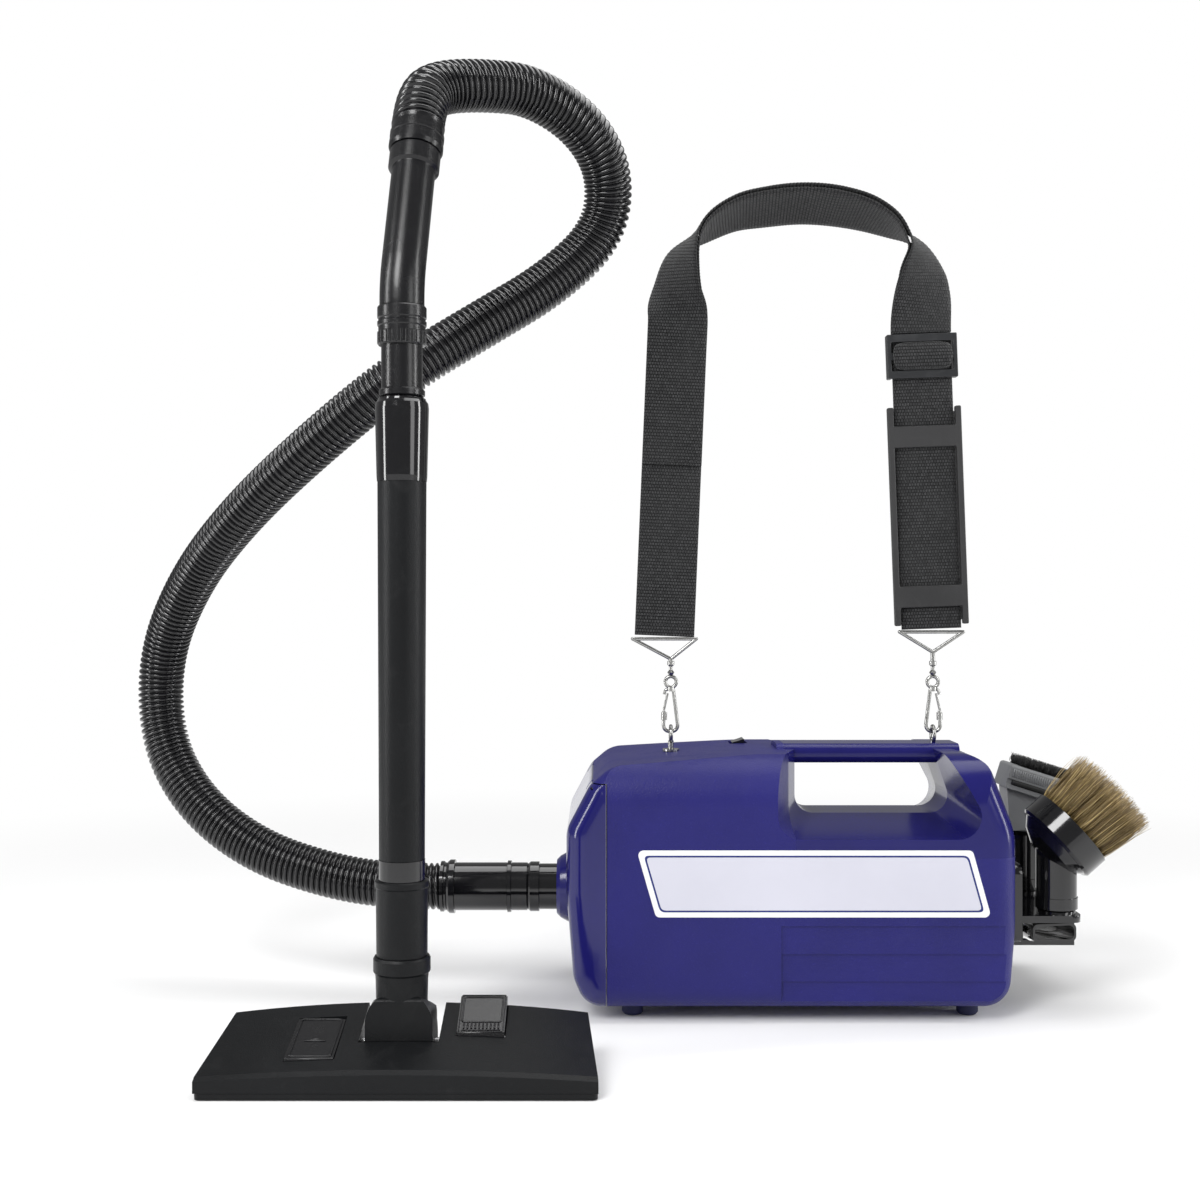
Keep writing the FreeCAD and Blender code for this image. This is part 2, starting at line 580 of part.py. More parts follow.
def make_hand_tube(cuff_base, up):
    """The bent hand tube: a thick grained grip above the bend, a slimmer end below."""
    foot = V(WAND_X, WAND_Y, 0)
    low_z = 534.6
    bend = V(WAND_X, WAND_Y, BEND_Z)
    turn = Z_AXIS.getAngle(up)
    bend_radius = 0.85 * (BEND_Z - low_z) / math.tan(turn / 2)
    start, middle, end = corner_arc(foot, bend, cuff_base, bend_radius)
    axis = Z_AXIS.cross(up).normalize()
    centre = start + axis.cross(Z_AXIS).normalize() * bend_radius
    sectors = [bend_sector(start, axis, centre, math.degrees(turn), radius)
               for radius in (GRIP_TUBE_RADIUS, HAND_BORE)]
    shank = [(423.0, HAND_BORE), (423.0, 13.2), (470.4, HAND_TUBE_RADIUS), (471.9, 16.0), (475.4, 16.0),
             (476.9, HAND_TUBE_RADIUS), (low_z, HAND_TUBE_RADIUS), (low_z, GRIP_TUBE_RADIUS),
             (start.z, GRIP_TUBE_RADIUS), (start.z, HAND_BORE)]
    run = (cuff_base - end).Length
    grip = [(-run, HAND_BORE), (-run, GRIP_TUBE_RADIUS), (-15.5, GRIP_TUBE_RADIUS), (-14.0, 18.3),
            (-1.5, 18.3), (-0.4, 17.4), (-0.4, 13.4), (18.6, 13.4), (18.6, HAND_BORE)]
    pieces = [turned(shank, foot, Z_AXIS), sectors[0].cut(sectors[1]), turned(grip, cuff_base, up)]
    save("hand_tube", join(pieces))
    make_lock_ring()


def make_lock_ring():
    """The knurled ring round the top of the shank: two bands of grips and two lands."""
    start = V(WAND_X, WAND_Y, 506.8)
    outer = 17.1
    profile = [(0, HAND_TUBE_RADIUS + 0.06), (0, 16.2), (1.2, outer), (9.0, outer), (9.8, 16.4), (13.0, 16.4),
               (13.8, outer), (16.4, outer), (17.2, 16.4), (18.4, 16.4), (19.2, outer), (26.2, outer),
               (27.2, 16.4), (27.2, HAND_TUBE_RADIUS + 0.06)]
    collar = turned(profile, start, Z_AXIS)
    grooves = []
    for i in range(30):
        groove = rod(V(WAND_X + outer + 0.5, WAND_Y, 506.0), Z_AXIS, 1.1, 10.2)
        groove.rotate(V(WAND_X, WAND_Y, 0), Z_AXIS, 12.0 * i)
        grooves.append(groove)
    save("lock_ring", collar.cut(grooves))


WAND_LOW = 110.0
BAND_Z = (133.9, 147.2)


def make_wand():
    base = V(WAND_X, WAND_Y, 0)
    tube_top = 412.0
    wand = turned([(WAND_LOW, 13.2), (WAND_LOW, 14.6), (BAND_Z[0], 15.1), (BAND_Z[1] + 2.3, 15.2),
                   (BAND_Z[1] + 2.4, 15.9), (tube_top, 17.0), (tube_top, 14.6)], base, Z_AXIS)
    save("wand_tube", wand)
    band = ring(base + Z_AXIS * (BAND_Z[0] + 1.6), Z_AXIS, 16.2, 15.3, BAND_Z[1] - BAND_Z[0] + 0.4)
    save("wand_band", band)
    collar = turned([(tube_top + 0.1, 14.7), (tube_top + 0.1, 17.3), (tube_top + 4.0, 17.6), (463.0, 18.7),
                     (466.5, 18.3), (468.5, 16.9), (469.8, 16.4), (469.8, 14.7)], base, Z_AXIS)
    save("wand_collar", collar)


# ------------------------------------------------------------------ floor tool
SOCKET_Z = 82.6
ELBOW_HALF = 23.2
DRUM_RADIUS = 17.5
SLOT_HALF = 27.5


def make_socket_and_elbow():
    base = V(WAND_X, WAND_Y, 0)
    socket = turned([(SOCKET_Z, 15.4), (SOCKET_Z, 17.6), (SOCKET_Z + 3.0, 17.8), (129.8, 18.1), (130.6, 18.7),
                     (134.4, 18.7), (135.2, 17.6), (135.2, 15.4)], base, Z_AXIS)
    inner_lip = ring(base + Z_AXIS * 104.0, Z_AXIS, 15.6, 13.2, 5.8)
    save("tool_socket", socket.fuse(inner_lip))
    collar = turned([(70.6, 15.2), (70.6, 19.0), (72.0, 19.9), (80.6, 19.9), (82.3, 18.9), (82.3, 15.2)],
                    base, Z_AXIS)
    front = end_prism([(WAND_Y - 18.0, PIVOT_Z), (WAND_Y + 12.0, PIVOT_Z), (WAND_Y + 12.0, 44.0),
                          (WAND_Y - 18.0, 58.0)], [0, 0, 0, 3.0], WAND_X - ELBOW_HALF, WAND_X + ELBOW_HALF)
    arch = side_prism([(WAND_X - ELBOW_HALF, PIVOT_Z - 2), (WAND_X + ELBOW_HALF, PIVOT_Z - 2),
                       (WAND_X + ELBOW_HALF, 61.5), (WAND_X - ELBOW_HALF, 61.5)],
                      [0, 0, ELBOW_HALF - 0.6, ELBOW_HALF - 0.6], WAND_Y - 30, WAND_Y + 30)
    drum = rod(V(WAND_X - ELBOW_HALF, WAND_Y, PIVOT_Z), X_AXIS, DRUM_RADIUS, 2 * ELBOW_HALF)
    neck = turned([(PIVOT_Z, 0), (PIVOT_Z, 17.2), (66.0, 18.2), (70.6, 18.6), (70.6, 0)], base, Z_AXIS)
    spigot = rod(V(WAND_X, WAND_Y, 60.0), Z_AXIS, 15.34, 43.6)
    elbow = join([front.common(arch), drum, neck, collar, spigot])
    bore = rod(V(WAND_X, WAND_Y, 18.0), Z_AXIS, 12.6, 100.0)
    pin_hole = rod(V(WAND_X - 40, WAND_Y, PIVOT_Z), X_AXIS, 3.05, 80)
    pin_tunnel = rod(V(WAND_X - ELBOW_HALF + 4, WAND_Y, PIVOT_Z), X_AXIS, 6.0, 2 * ELBOW_HALF - 8)
    save("floor_elbow", elbow.cut(bore).fuse(pin_tunnel).cut(pin_hole))


def head_height(x, y):
    """The height of the head's sloping top, x from its middle and y from the wand's axis."""
    share = (x / (HEAD_WIDTH / 2)) ** 2
    lip = 19.0 - 4.6 * share
    rear = 41.0 - 7.5 * share
    return lip + (rear - lip) * (y + 56.0) / HEAD_DEPTH


def head_block(inset, floor):
    """A loft of side sections along the head's width; it narrows towards the rear."""
    sections = []
    for share in (-1.0, -0.75, -0.5, 0.0, 0.5, 0.75, 1.0):
        x = (HEAD_WIDTH / 2 - inset) * share
        y0 = HEAD_FRONT_Y + inset
        y1 = HEAD_FRONT_Y + HEAD_DEPTH - inset
        front_top = head_height(x, -56.0) - inset
        rear_top = head_height(x, HEAD_DEPTH - 56.0) - inset
        outline = [(y0, floor), (y0, front_top - 2.5), (y0 + 3.5, front_top), (y1 - 4.0, rear_top),
                   (y1, rear_top - 4.0), (y1, floor)]
        narrowing = share * HEAD_TAPER / HEAD_DEPTH
        points = [V(HEAD_X + x - narrowing * (y - HEAD_FRONT_Y), y, z) for y, z in outline]
        sections.append(Part.makePolygon(points + [points[0]]))
    return Part.makeLoft(sections, True, False)


LEFT_PEDAL = {"x": -60.5, "half": 16.5, "y0": -39.5, "y1": 13.5}
RIGHT_PEDAL = {"x": 52.5, "half": 16.5, "y0": -10.5, "y1": 29.5}
PEDAL_GAP = 0.6
PEDAL_DEPTH = 5.0
STRIP_HALF = 100.0
STRIP_Y = (-38.0, -16.0)


def pedal_well(pedal):
    middle = HEAD_X + pedal["x"]
    reach = pedal["half"] + PEDAL_GAP
    return box(middle - reach, middle + reach,
               WAND_Y + pedal["y0"] - PEDAL_GAP, WAND_Y + pedal["y1"] + 2 * PEDAL_GAP, 9.0, 60.0)


def pedal_hinge(pedal):
    """The pedal's pivot line: near its front edge and just under the head's top."""
    return WAND_Y + pedal["y0"] + 4.0, head_height(pedal["x"], pedal["y0"] + 4.0) - 3.0


def pedal_slab(pedal, rise_front, rise_rear):
    """A pedal whose top stands above the head by the two given amounts."""
    y0 = pedal["y0"]
    y1 = pedal["y1"]
    z0 = head_height(pedal["x"], y0)
    z1 = head_height(pedal["x"], y1)
    lean = rise_rear / 4
    outline = [(WAND_Y + y0, z0 - PEDAL_DEPTH), (WAND_Y + y1, z1 - PEDAL_DEPTH + min(rise_rear, 2.0)),
               (WAND_Y + y1 - lean, z1 + rise_rear), (WAND_Y + y0, z0 + rise_front)]
    left = HEAD_X + pedal["x"] - pedal["half"]
    slab = end_prism(outline, [1.5, 1.0, 2.0, 1.2], left, left + 2 * pedal["half"])
    hinge_y, hinge_z = pedal_hinge(pedal)
    hole = rod(V(left - 5, hinge_y, hinge_z), X_AXIS, 1.06, 2 * pedal["half"] + 10)
    return slab.cut(hole)


def make_head():
    cover = head_block(0.0, 4.2).cut(head_block(5.6, 2.0))
    rear_y = HEAD_FRONT_Y + HEAD_DEPTH
    slot = box(WAND_X - SLOT_HALF, WAND_X + SLOT_HALF, WAND_Y - 19.4, rear_y + 5, 4.2, 60)
    ears = [box(x - 3.0, x + 3.0, WAND_Y - 12, WAND_Y + 12, 4.2, PIVOT_Z + 7)
            for x in (WAND_X - SLOT_HALF - 3.0, WAND_X + SLOT_HALF + 3.0)]
    front_wall = box(WAND_X - SLOT_HALF, WAND_X + SLOT_HALF, WAND_Y - 22.4, WAND_Y - 19.4, 4.2, 24.0)
    cover = cover.cut([slot, pedal_well(LEFT_PEDAL), pedal_well(RIGHT_PEDAL)]).fuse(ears + [front_wall])
    pins = []
    for pedal in (LEFT_PEDAL, RIGHT_PEDAL):
        hinge_y, hinge_z = pedal_hinge(pedal)
        reach = pedal["half"] + 3.0
        pins.append(rod(V(HEAD_X + pedal["x"] - reach, hinge_y, hinge_z), X_AXIS, 1.0, 2 * reach))
    elbow_pin = rod(V(WAND_X - 33.0, WAND_Y, PIVOT_Z), X_AXIS, 3.0, 66.0)
    save("head_cover", cover.cut(pins + [elbow_pin]))
    save("head_pins", group(pins + [elbow_pin]))
    make_base(rear_y)
    save("left_pedal", pedal_slab(LEFT_PEDAL, 0.6, 0.6))
    save("right_pedal", pedal_slab(RIGHT_PEDAL, 2.5, 9.0))
    strips = [box(HEAD_X - STRIP_HALF, HEAD_X + STRIP_HALF, WAND_Y + y - 1.5, WAND_Y + y + 1.5, 0.3, 7.5)
              for y in STRIP_Y]
    front_y = WAND_Y + STRIP_Y[0]
    carrier = box(HEAD_X - STRIP_HALF, HEAD_X + STRIP_HALF, front_y - 1.5, front_y + 1.5, 7.5, 8.4)
    save("brush_strips", group([strips[0].fuse(carrier), strips[1]]))


def make_base(rear_y):
    """The sole plate with its suction mouth between two brush slots."""
    half = HEAD_WIDTH / 2
    rear_half = half - HEAD_TAPER
    outline = [(HEAD_X - half, HEAD_FRONT_Y), (HEAD_X + half, HEAD_FRONT_Y), (HEAD_X + rear_half, rear_y),
               (HEAD_X - rear_half, rear_y)]
    plate = plan_prism(outline, [4.0] * 4, 0.0, 4.0)
    mouth = box(HEAD_X - 92, HEAD_X + 92, WAND_Y - 33.0, WAND_Y - 21.0, -1, 5)
    slot_half = STRIP_HALF + 0.5
    slots = [box(HEAD_X - slot_half, HEAD_X + slot_half, WAND_Y + y - 2.0, WAND_Y + y + 2.0, -1, 5)
             for y in STRIP_Y]
    relief = rod(V(WAND_X - 26.0, WAND_Y, PIVOT_Z), X_AXIS, DRUM_RADIUS + 0.6, 52.0)
    save("head_base", plate.cut([mouth, relief] + slots))


# ------------------------------------------------------------------ strap
# (x, z, twist in degrees) along the middle of the webbing, from the front hook to the
# rear one; at no twist its face looks along -Y, at 90 it lies level
STRAP_STATIONS = [
    (-31.4, 299.2, 0), (-25.9, 430.0, 0), (-20.4, 559.5, 0), (-19.1, 590.0, 45), (-12.5, 617.5, 68),
    (2.4, 637.0, 96), (29.2, 652.8, 108), (54.8, 657.8, 112), (85.8, 660.4, 112), (115.3, 657.8, 110),
    (141.3, 651.0, 104), (160.5, 641.0, 92), (178.2, 624.2, 64), (184.0, 601.6, 32), (183.7, 554.5, 0),
    (188.2, 430.0, 0), (192.9, 305.0, 0),
]
LEG_TOP = V(STRAP_STATIONS[-3][0], CAN_Y, STRAP_STATIONS[-3][1])
LEG_LOW = V(STRAP_STATIONS[-1][0], CAN_Y, STRAP_STATIONS[-1][1])


def ribbon_section(before, here, after, twist):
    """The webbing's cross-section, square to its run and twisted about it."""
    along = (after - before).normalize()
    in_plane = along.cross(Y_AXIS).normalize()
    angle = math.radians(twist)
    across = in_plane * math.cos(angle) + Y_AXIS * math.sin(angle)
    thick = along.cross(across).normalize()
    a = across * (WEB_WIDTH / 2)
    t = thick * (WEB_THICKNESS / 2)
    points = [here - a - t, here + a - t, here + a + t, here - a + t]
    return Part.makePolygon(points + [points[0]])


def make_webbing():
    stations = [V(x, CAN_Y, z) for x, z, twist in STRAP_STATIONS]
    twists = [twist for x, z, twist in STRAP_STATIONS]
    sections = []
    for i, here in enumerate(stations):
        before = stations[max(i - 1, 0)]
        after = stations[min(i + 1, len(stations) - 1)]
        sections.append(ribbon_section(before, here, after, twists[i]))
    save("strap_webbing", Part.makeLoft(sections, True, True))


def on_leg(z):
    """The middle of the rear leg at a height."""
    share = (LEG_TOP.z - z) / (LEG_TOP.z - LEG_LOW.z)
    return LEG_TOP + (LEG_LOW - LEG_TOP) * share


def leg_piece(z, x0, x1, y0, y1, z0, z1):
    """A box placed on the rear leg and leaned with it."""
    piece = box(x0, x1, y0, y1, z0, z1)
    lean = FreeCAD.Rotation(Z_AXIS, LEG_TOP - LEG_LOW)
    piece.Placement = FreeCAD.Placement(on_leg(z), lean)
    return piece


SLIDER_Z = 534.0
PAD_Z = 400.0
SIDE_CLEAR = WEB_WIDTH / 2 + 0.9
FACE_CLEAR = WEB_THICKNESS / 2 + 0.4


def make_slider():
    """The three-bar slider: front bars, one rear bar, and side rails round the webbing."""
    half_h = 18.5
    outer = SIDE_CLEAR + 3.4
    front = -FACE_CLEAR - 3.2
    pieces = [leg_piece(SLIDER_Z, -outer, outer, front, -FACE_CLEAR, z0, z1)
              for z0, z1 in ((-half_h, -half_h + 6.5), (-3.0, 3.0), (half_h - 6.5, half_h))]
    pieces.append(leg_piece(SLIDER_Z, -outer, outer, FACE_CLEAR, FACE_CLEAR + 2.6, -4.0, 4.0))
    for x0, x1 in ((-outer, -SIDE_CLEAR), (SIDE_CLEAR, outer)):
        pieces.append(leg_piece(SLIDER_Z, x0, x1, front, FACE_CLEAR + 2.6, -half_h, half_h))
    save("slider_buckle", join(pieces))


def make_pad():
    """The shoulder pad: a soft back, side rails, and two crossbars over the webbing."""
    half_h = 91.5
    outer = SIDE_CLEAR + 5.0
    front = -FACE_CLEAR - 3.0
    back = leg_piece(PAD_Z, -outer + 1, outer - 1, FACE_CLEAR, FACE_CLEAR + 6.5, -half_h + 2, half_h - 2)
    save("pad_cushion", back)
    pieces = [leg_piece(PAD_Z, x0, x1, front, FACE_CLEAR - 0.1, -half_h, half_h)
              for x0, x1 in ((-outer, -SIDE_CLEAR), (SIDE_CLEAR, outer))]
    pieces += [leg_piece(PAD_Z, -outer, outer, front, -FACE_CLEAR, z - 9.0, z + 9.0) for z in (66.5, -67.5)]
    save("pad_frame", join(pieces))


WIRE = 1.5


def make_hooks():
    triangles = []
    swivels = []
    hooks = []
    for x, leg_x, side in ((EYE_X[0], STRAP_STATIONS[0][0], -1), (EYE_X[1], STRAP_STATIONS[-1][0], 1)):
        bar_z = 296.8 if side < 0 else 302.6
        apex_z = bar_z - 17.0
        left = V(leg_x - 26.8, CAN_Y, bar_z)
        right = V(leg_x + 26.8, CAN_Y, bar_z)
        apex = V(x, CAN_Y, apex_z)
        sides = [rod(end, apex - end, WIRE, (apex - end).Length) for end in (left, right)]
        balls = [Part.makeSphere(WIRE, end) for end in (left, right, apex)]
        triangles.append(join([rod(left, X_AXIS, WIRE, 53.6)] + sides + balls))
        stem = turned([(0, 0), (0, 1.9), (2.0, 3.0), (4.0, 1.6), (7.0, 1.6), (8.5, 3.0), (11.5, 3.0),
                       (12.5, 0)],
                      V(x, CAN_Y, 266.5), Z_AXIS)
        swivels.append(stem.fuse(rod(V(x, CAN_Y, 277.0), Z_AXIS, 1.9, apex_z - 277.0 - 0.4)))
        hooks.append(make_hook(x, side))
        gate_low = V(x + side * 5.7, CAN_Y, 237.6)
        gate_high = V(x + side * 2.7, CAN_Y, 251.0)
        bar = rod(gate_low, gate_high - gate_low, 1.0, (gate_high - gate_low).Length)
        pivot = rod(gate_low - Y_AXIS * 1.7, Y_AXIS, 0.85, 3.4)
        save("front_hook_gate" if side < 0 else "rear_hook_gate", bar.fuse(pivot))
    save("strap_triangles", group(triangles))
    save("hook_swivels", group([swivel.cut(triangles + hooks) for swivel in swivels]))
    save("snap_hooks", group(hooks))


def make_hook(x, side):
    """A wire hook: an eye on top, a spine, a round bottom, and a tip with the gate's coil."""
    def at(dx, z):
        return V(x + side * dx, CAN_Y, z)

    bottom = HOOK_AXIS_Z
    body = bent_rod([at(5.7, 236.4), at(6.4, bottom), at(-6.4, bottom), at(-2.2, 253.0), at(-1.2, 256.0)],
                    [5.2, 5.2, 4.0], WIRE)
    coil = rod(at(5.75, 228.8), at(5.7, 236.4) - at(5.95, 228.0), 2.5, 6.2)
    collar = rod(at(0, 252.8), Z_AXIS, 2.9, 3.6)
    eye = Part.makeTorus(4.6, WIRE, V(x, CAN_Y, 260.6), Y_AXIS)
    nose = bent_rod([at(1.0, 254.6), at(4.4, 254.2), at(5.6, 250.2)], [2.2], 1.2)
    return join([collar, body, coil, eye, nose])


# ------------------------------------------------------------------ tools on the rear
BRUSH_CENTRE = V(PEG_X + 5.8, BRUSH_Y, 138.2)
BRUSH_AXIS = V(0.745, 0, 0.667)
CUP_RADIUS = 35.3
PEG_RADIUS = 12.85
NECK_BORE = 13.2
CREVICE_X = REAR_X + 41.5
CREVICE_Y = (CAN_Y - 50.0, CAN_Y + 77.0, CAN_Y + 104.0)
CREVICE_TIP_Z = 60.5
CREVICE_NECK_Z = 51.5


def make_caddy():
    """The bracket on the rear: a plate, a shelf with two pegs, and a clip under it."""
    plate = end_prism(rounded_rect(CAN_Y - 70.0, CAN_Y + 70.0, 57.0, 119.0), [8.0] * 4,
                      REAR_X + 0.1, REAR_X + 8.5)
    shelf_outline = rounded_rect(REAR_X + 6.0, PEG_X + 17.0, CAN_Y - 59.0, CAN_Y + 59.0)
    shelf = plan_prism(shelf_outline, [3.0, 9.0, 9.0, 3.0],
                       SHELF_TOP - 5.6, SHELF_TOP)
    pegs = [turned([(0, 0), (0, 15.0), (2.5, 15.0), (3.0, PEG_RADIUS), (27.0, PEG_RADIUS - 0.2), (30.0, 10.5),
                    (30.0, 0)],
                   V(PEG_X, y, SHELF_TOP - 0.2), Z_AXIS) for y in (BRUSH_Y, UPHOLSTERY_Y)]
    web_y = CREVICE_Y[0] + 22.0
    web = box(REAR_X + 6.0, PEG_X + 19.5, web_y, web_y + 7.0, 46.0, SHELF_TOP - 3.0)
    hole = crevice_body(1.0).common(box(REAR_X, PEG_X + 60, web_y - 1, web_y + 8, 0, 100))
    window = box(CREVICE_X - 20.6, CREVICE_X + 20.6, web_y - 1, web_y + 8,
                 CREVICE_TIP_Z - 10.3, CREVICE_TIP_Z + 8.6)
    caddy = join([plate, shelf, web] + pegs).cut(hole.fuse(window))
    save("tool_caddy", caddy.cut(caddy_screws()))


def case_screws():
    """The screws that hold the two casing halves, sunk in the far side."""
    spots = [(-125.0, 60.0), (-125.0, 155.0), (-30.0, 110.0), (120.0, 105.0), (60.0, 60.0)]
    screws = []
    for x, z in spots:
        head = rod(V(CAN_X + x, FAR_Y - 3.4, z), Y_AXIS, 3.6, 2.6)
        screws.append(head.fuse(rod(V(CAN_X + x, FAR_Y - 16.0, z), Y_AXIS, 1.8, 13.0)))
    return screws


def caddy_screws():
    """The two screws that hold the bracket to the rear of the casing."""
    screws = []
    for y in (CAN_Y - 61.0, CAN_Y + 61.0):
        head = rod(V(REAR_X + 5.9, y, 104.0), X_AXIS, 3.8, 3.0)
        screws.append(head.fuse(rod(V(REAR_X - 8, y, 104.0), X_AXIS, 1.9, 15)))
    return screws


def crevice_body(growth):
    """The crevice tool's outer shape: flat tip, round neck; growth widens it all over."""
    def outline(y, z, half_x, half_z, corner):
        flat = rounded_rect(CREVICE_X - half_x - growth, CREVICE_X + half_x + growth,
                            z - half_z - growth, z + half_z + growth)
        return rounded_outline([V(x, y, height) for x, height in flat], [corner] * 4)

    tip = outline(CREVICE_Y[0], CREVICE_TIP_Z, 18.5, 7.0, 4.0)
    neck = outline(CREVICE_Y[1], CREVICE_NECK_Z, 16.0, 16.0, 15.5 + growth)
    return Part.makeLoft([tip, neck], True, True)


def make_crevice_tool():
    body = crevice_body(0.0)
    hollow = crevice_body(-1.8)
    neck = rod(V(CREVICE_X, CREVICE_Y[1], CREVICE_NECK_Z), Y_AXIS, 16.2, CREVICE_Y[2] - CREVICE_Y[1])
    bore = rod(V(CREVICE_X, CREVICE_Y[1] - 1, CREVICE_NECK_Z), Y_AXIS, NECK_BORE, 60)
    slant = side_y_less(CREVICE_X, CREVICE_Y[0], CREVICE_TIP_Z)
    save("crevice_tool", body.fuse(neck).cut([hollow, bore, slant]))


def side_y_less(x, y, z):
    """The wedge that cuts the tip off at a slant."""
    points = [V(x - 30, y - 1, z - 12), V(x + 30, y - 1, z - 12), V(x + 30, y + 9, z - 12)]
    return prism(points, [0, 0, 0], V(0, 0, 24))


def make_dusting_brush():
    back = BRUSH_CENTRE - BRUSH_AXIS * 10.0
    neck = rod(V(PEG_X, BRUSH_Y, 80.5), Z_AXIS, NECK_RADIUS, 75.0)
    beyond = rod(back, BRUSH_AXIS, 90.0, 90.0)
    collar = rod(V(PEG_X, BRUSH_Y, 80.5), Z_AXIS, NECK_RADIUS + 0.7, 9.0)
    dome = turned([(-13.0, 0), (-13.0, 13.0), (-7.0, 25.0), (0.1, 31.5), (0.1, 0)], back, BRUSH_AXIS)
    cup = turned([(0, 0), (0, CUP_RADIUS - 2.0), (2.0, CUP_RADIUS), (20.0, CUP_RADIUS), (20.0, 31.9),
                  (9.0, 31.9), (9.0, 0)], back, BRUSH_AXIS)
    bore = rod(V(PEG_X, BRUSH_Y, 80.0), Z_AXIS, NECK_BORE, 40.0)
    save("dusting_brush", join([neck.cut(beyond), collar, dome, cup]).cut(bore))
    bristles = turned([(9.2, 0), (9.2, 31.5), (20.0, 31.7), (61.8, 38.4), (61.8, 0)], back, BRUSH_AXIS)
    save("dusting_bristles", bristles)


UPHOLSTERY_TILT = 17.5
UPHOLSTERY_MID = V(PEG_X + 23.0, UPHOLSTERY_Y, 165.0)
UPHOLSTERY_HALF = 45.0


def make_upholstery_tool():
    """The grey nozzle bar on its fan-shaped body, its velour pad, and its black neck."""
    place = FreeCAD.Placement(UPHOLSTERY_MID, FreeCAD.Rotation(Y_AXIS, UPHOLSTERY_TILT))
    half = UPHOLSTERY_HALF
    bar = box(-half, half, -19.0, 19.0, -10.0, 11.0)
    bar = fillet_where(bar, 3.0, lambda edge: edge.BoundBox.ZMin > 10.9)
    slot = box(-half + 6, half - 6, -5.0, 5.0, 2.0, 20.0)
    groove = box(-half - 1, half - 5, -20.0, -17.0, -6.5, -1.5)
    bar = bar.cut([slot, groove])
    bar.Placement = place
    fan_outline = [(PEG_X - 17.5, 131.0), (PEG_X + 16.0, 131.0), (PEG_X + 52.0, 147.0), (PEG_X - 20.0, 169.5)]
    fan = side_prism(fan_outline, [3.0, 8.0, 2.0, 2.0], UPHOLSTERY_Y - 13.0, UPHOLSTERY_Y + 13.0)
    save("upholstery_nozzle", bar.fuse(fan))
    pad = [box(-half + 8, half - 8, y0, y1, 11.2, 20.5) for y0, y1 in ((-16.5, -6.5), (6.5, 16.5))]
    for piece in pad:
        piece.Placement = place
    save("upholstery_bristles", group(pad))
    neck = turned([(80.5, NECK_BORE), (80.5, 16.9), (89.5, 16.9), (89.8, NECK_RADIUS), (127.0, NECK_RADIUS),
                   (130.8, 17.4), (130.8, 8.0), (118.0, NECK_BORE)], V(PEG_X, UPHOLSTERY_Y, 0), Z_AXIS)
    save("upholstery_neck", neck)


os.makedirs("parts", exist_ok=True)
make_casing()
make_fittings()
make_insides()
make_hose()
make_wand()
make_socket_and_elbow()
make_head()
make_webbing()
make_slider()
make_pad()
make_hooks()
make_caddy()
make_crevice_tool()
make_dusting_brush()
make_upholstery_tool()
print("sub-parts written", len([name for name in os.listdir("parts") if name.endswith(".step")]))
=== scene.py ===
import math
import random

import bpy
import numpy as np
from mathutils import Matrix, Vector


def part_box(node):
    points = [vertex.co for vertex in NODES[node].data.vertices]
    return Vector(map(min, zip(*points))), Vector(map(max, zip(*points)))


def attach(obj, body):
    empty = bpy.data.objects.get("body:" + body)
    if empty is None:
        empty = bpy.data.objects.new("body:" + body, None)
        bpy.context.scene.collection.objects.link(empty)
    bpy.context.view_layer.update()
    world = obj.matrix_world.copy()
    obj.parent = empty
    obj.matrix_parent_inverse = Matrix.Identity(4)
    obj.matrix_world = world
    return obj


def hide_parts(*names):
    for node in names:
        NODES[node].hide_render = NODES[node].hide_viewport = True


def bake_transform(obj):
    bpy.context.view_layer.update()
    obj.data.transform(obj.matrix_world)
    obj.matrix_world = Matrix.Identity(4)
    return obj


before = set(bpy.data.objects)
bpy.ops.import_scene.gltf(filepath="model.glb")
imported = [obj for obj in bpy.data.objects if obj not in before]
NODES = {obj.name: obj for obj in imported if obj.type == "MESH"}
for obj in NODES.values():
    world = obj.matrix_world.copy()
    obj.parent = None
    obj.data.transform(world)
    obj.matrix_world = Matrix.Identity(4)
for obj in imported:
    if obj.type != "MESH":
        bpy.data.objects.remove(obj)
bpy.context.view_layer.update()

# Looks of the portable canister vacuum cleaner.  Metres, +Z up, +X towards the tools
# on the canister's rear, and -Y is the side that the badge and the floor tool face.

MM = 0.001
BACKDROP = 1.0


# ------------------------------------------------------------------ camera, floor and light
def look_at(thing, target):
    away = Vector(thing.location) - Vector(target)
    thing.rotation_euler = away.to_track_quat("Z", "Y").to_euler()


def add_camera():
    """A level camera a little over a metre from the canister, as high as the cuff on the wand."""
    data = bpy.data.cameras.new("camera")
    data.sensor_width = 36.0
    data.lens = 44.64
    data.clip_end = 50.0
    camera = bpy.data.objects.new("camera", data)
    camera.location = (-0.0855, -1.1675, 0.3315)
    camera.rotation_euler = (math.pi / 2, 0.0, 0.0)
    bpy.context.scene.collection.objects.link(camera)
    bpy.context.scene.camera = camera


def add_area_light(name, place, target, size, watts):
    data = bpy.data.lights.new(name, "AREA")
    data.shape = "RECTANGLE"
    data.size, data.size_y = size
    data.energy = watts
    light = bpy.data.objects.new(name, data)
    light.location = place
    look_at(light, target)
    bpy.context.scene.collection.objects.link(light)


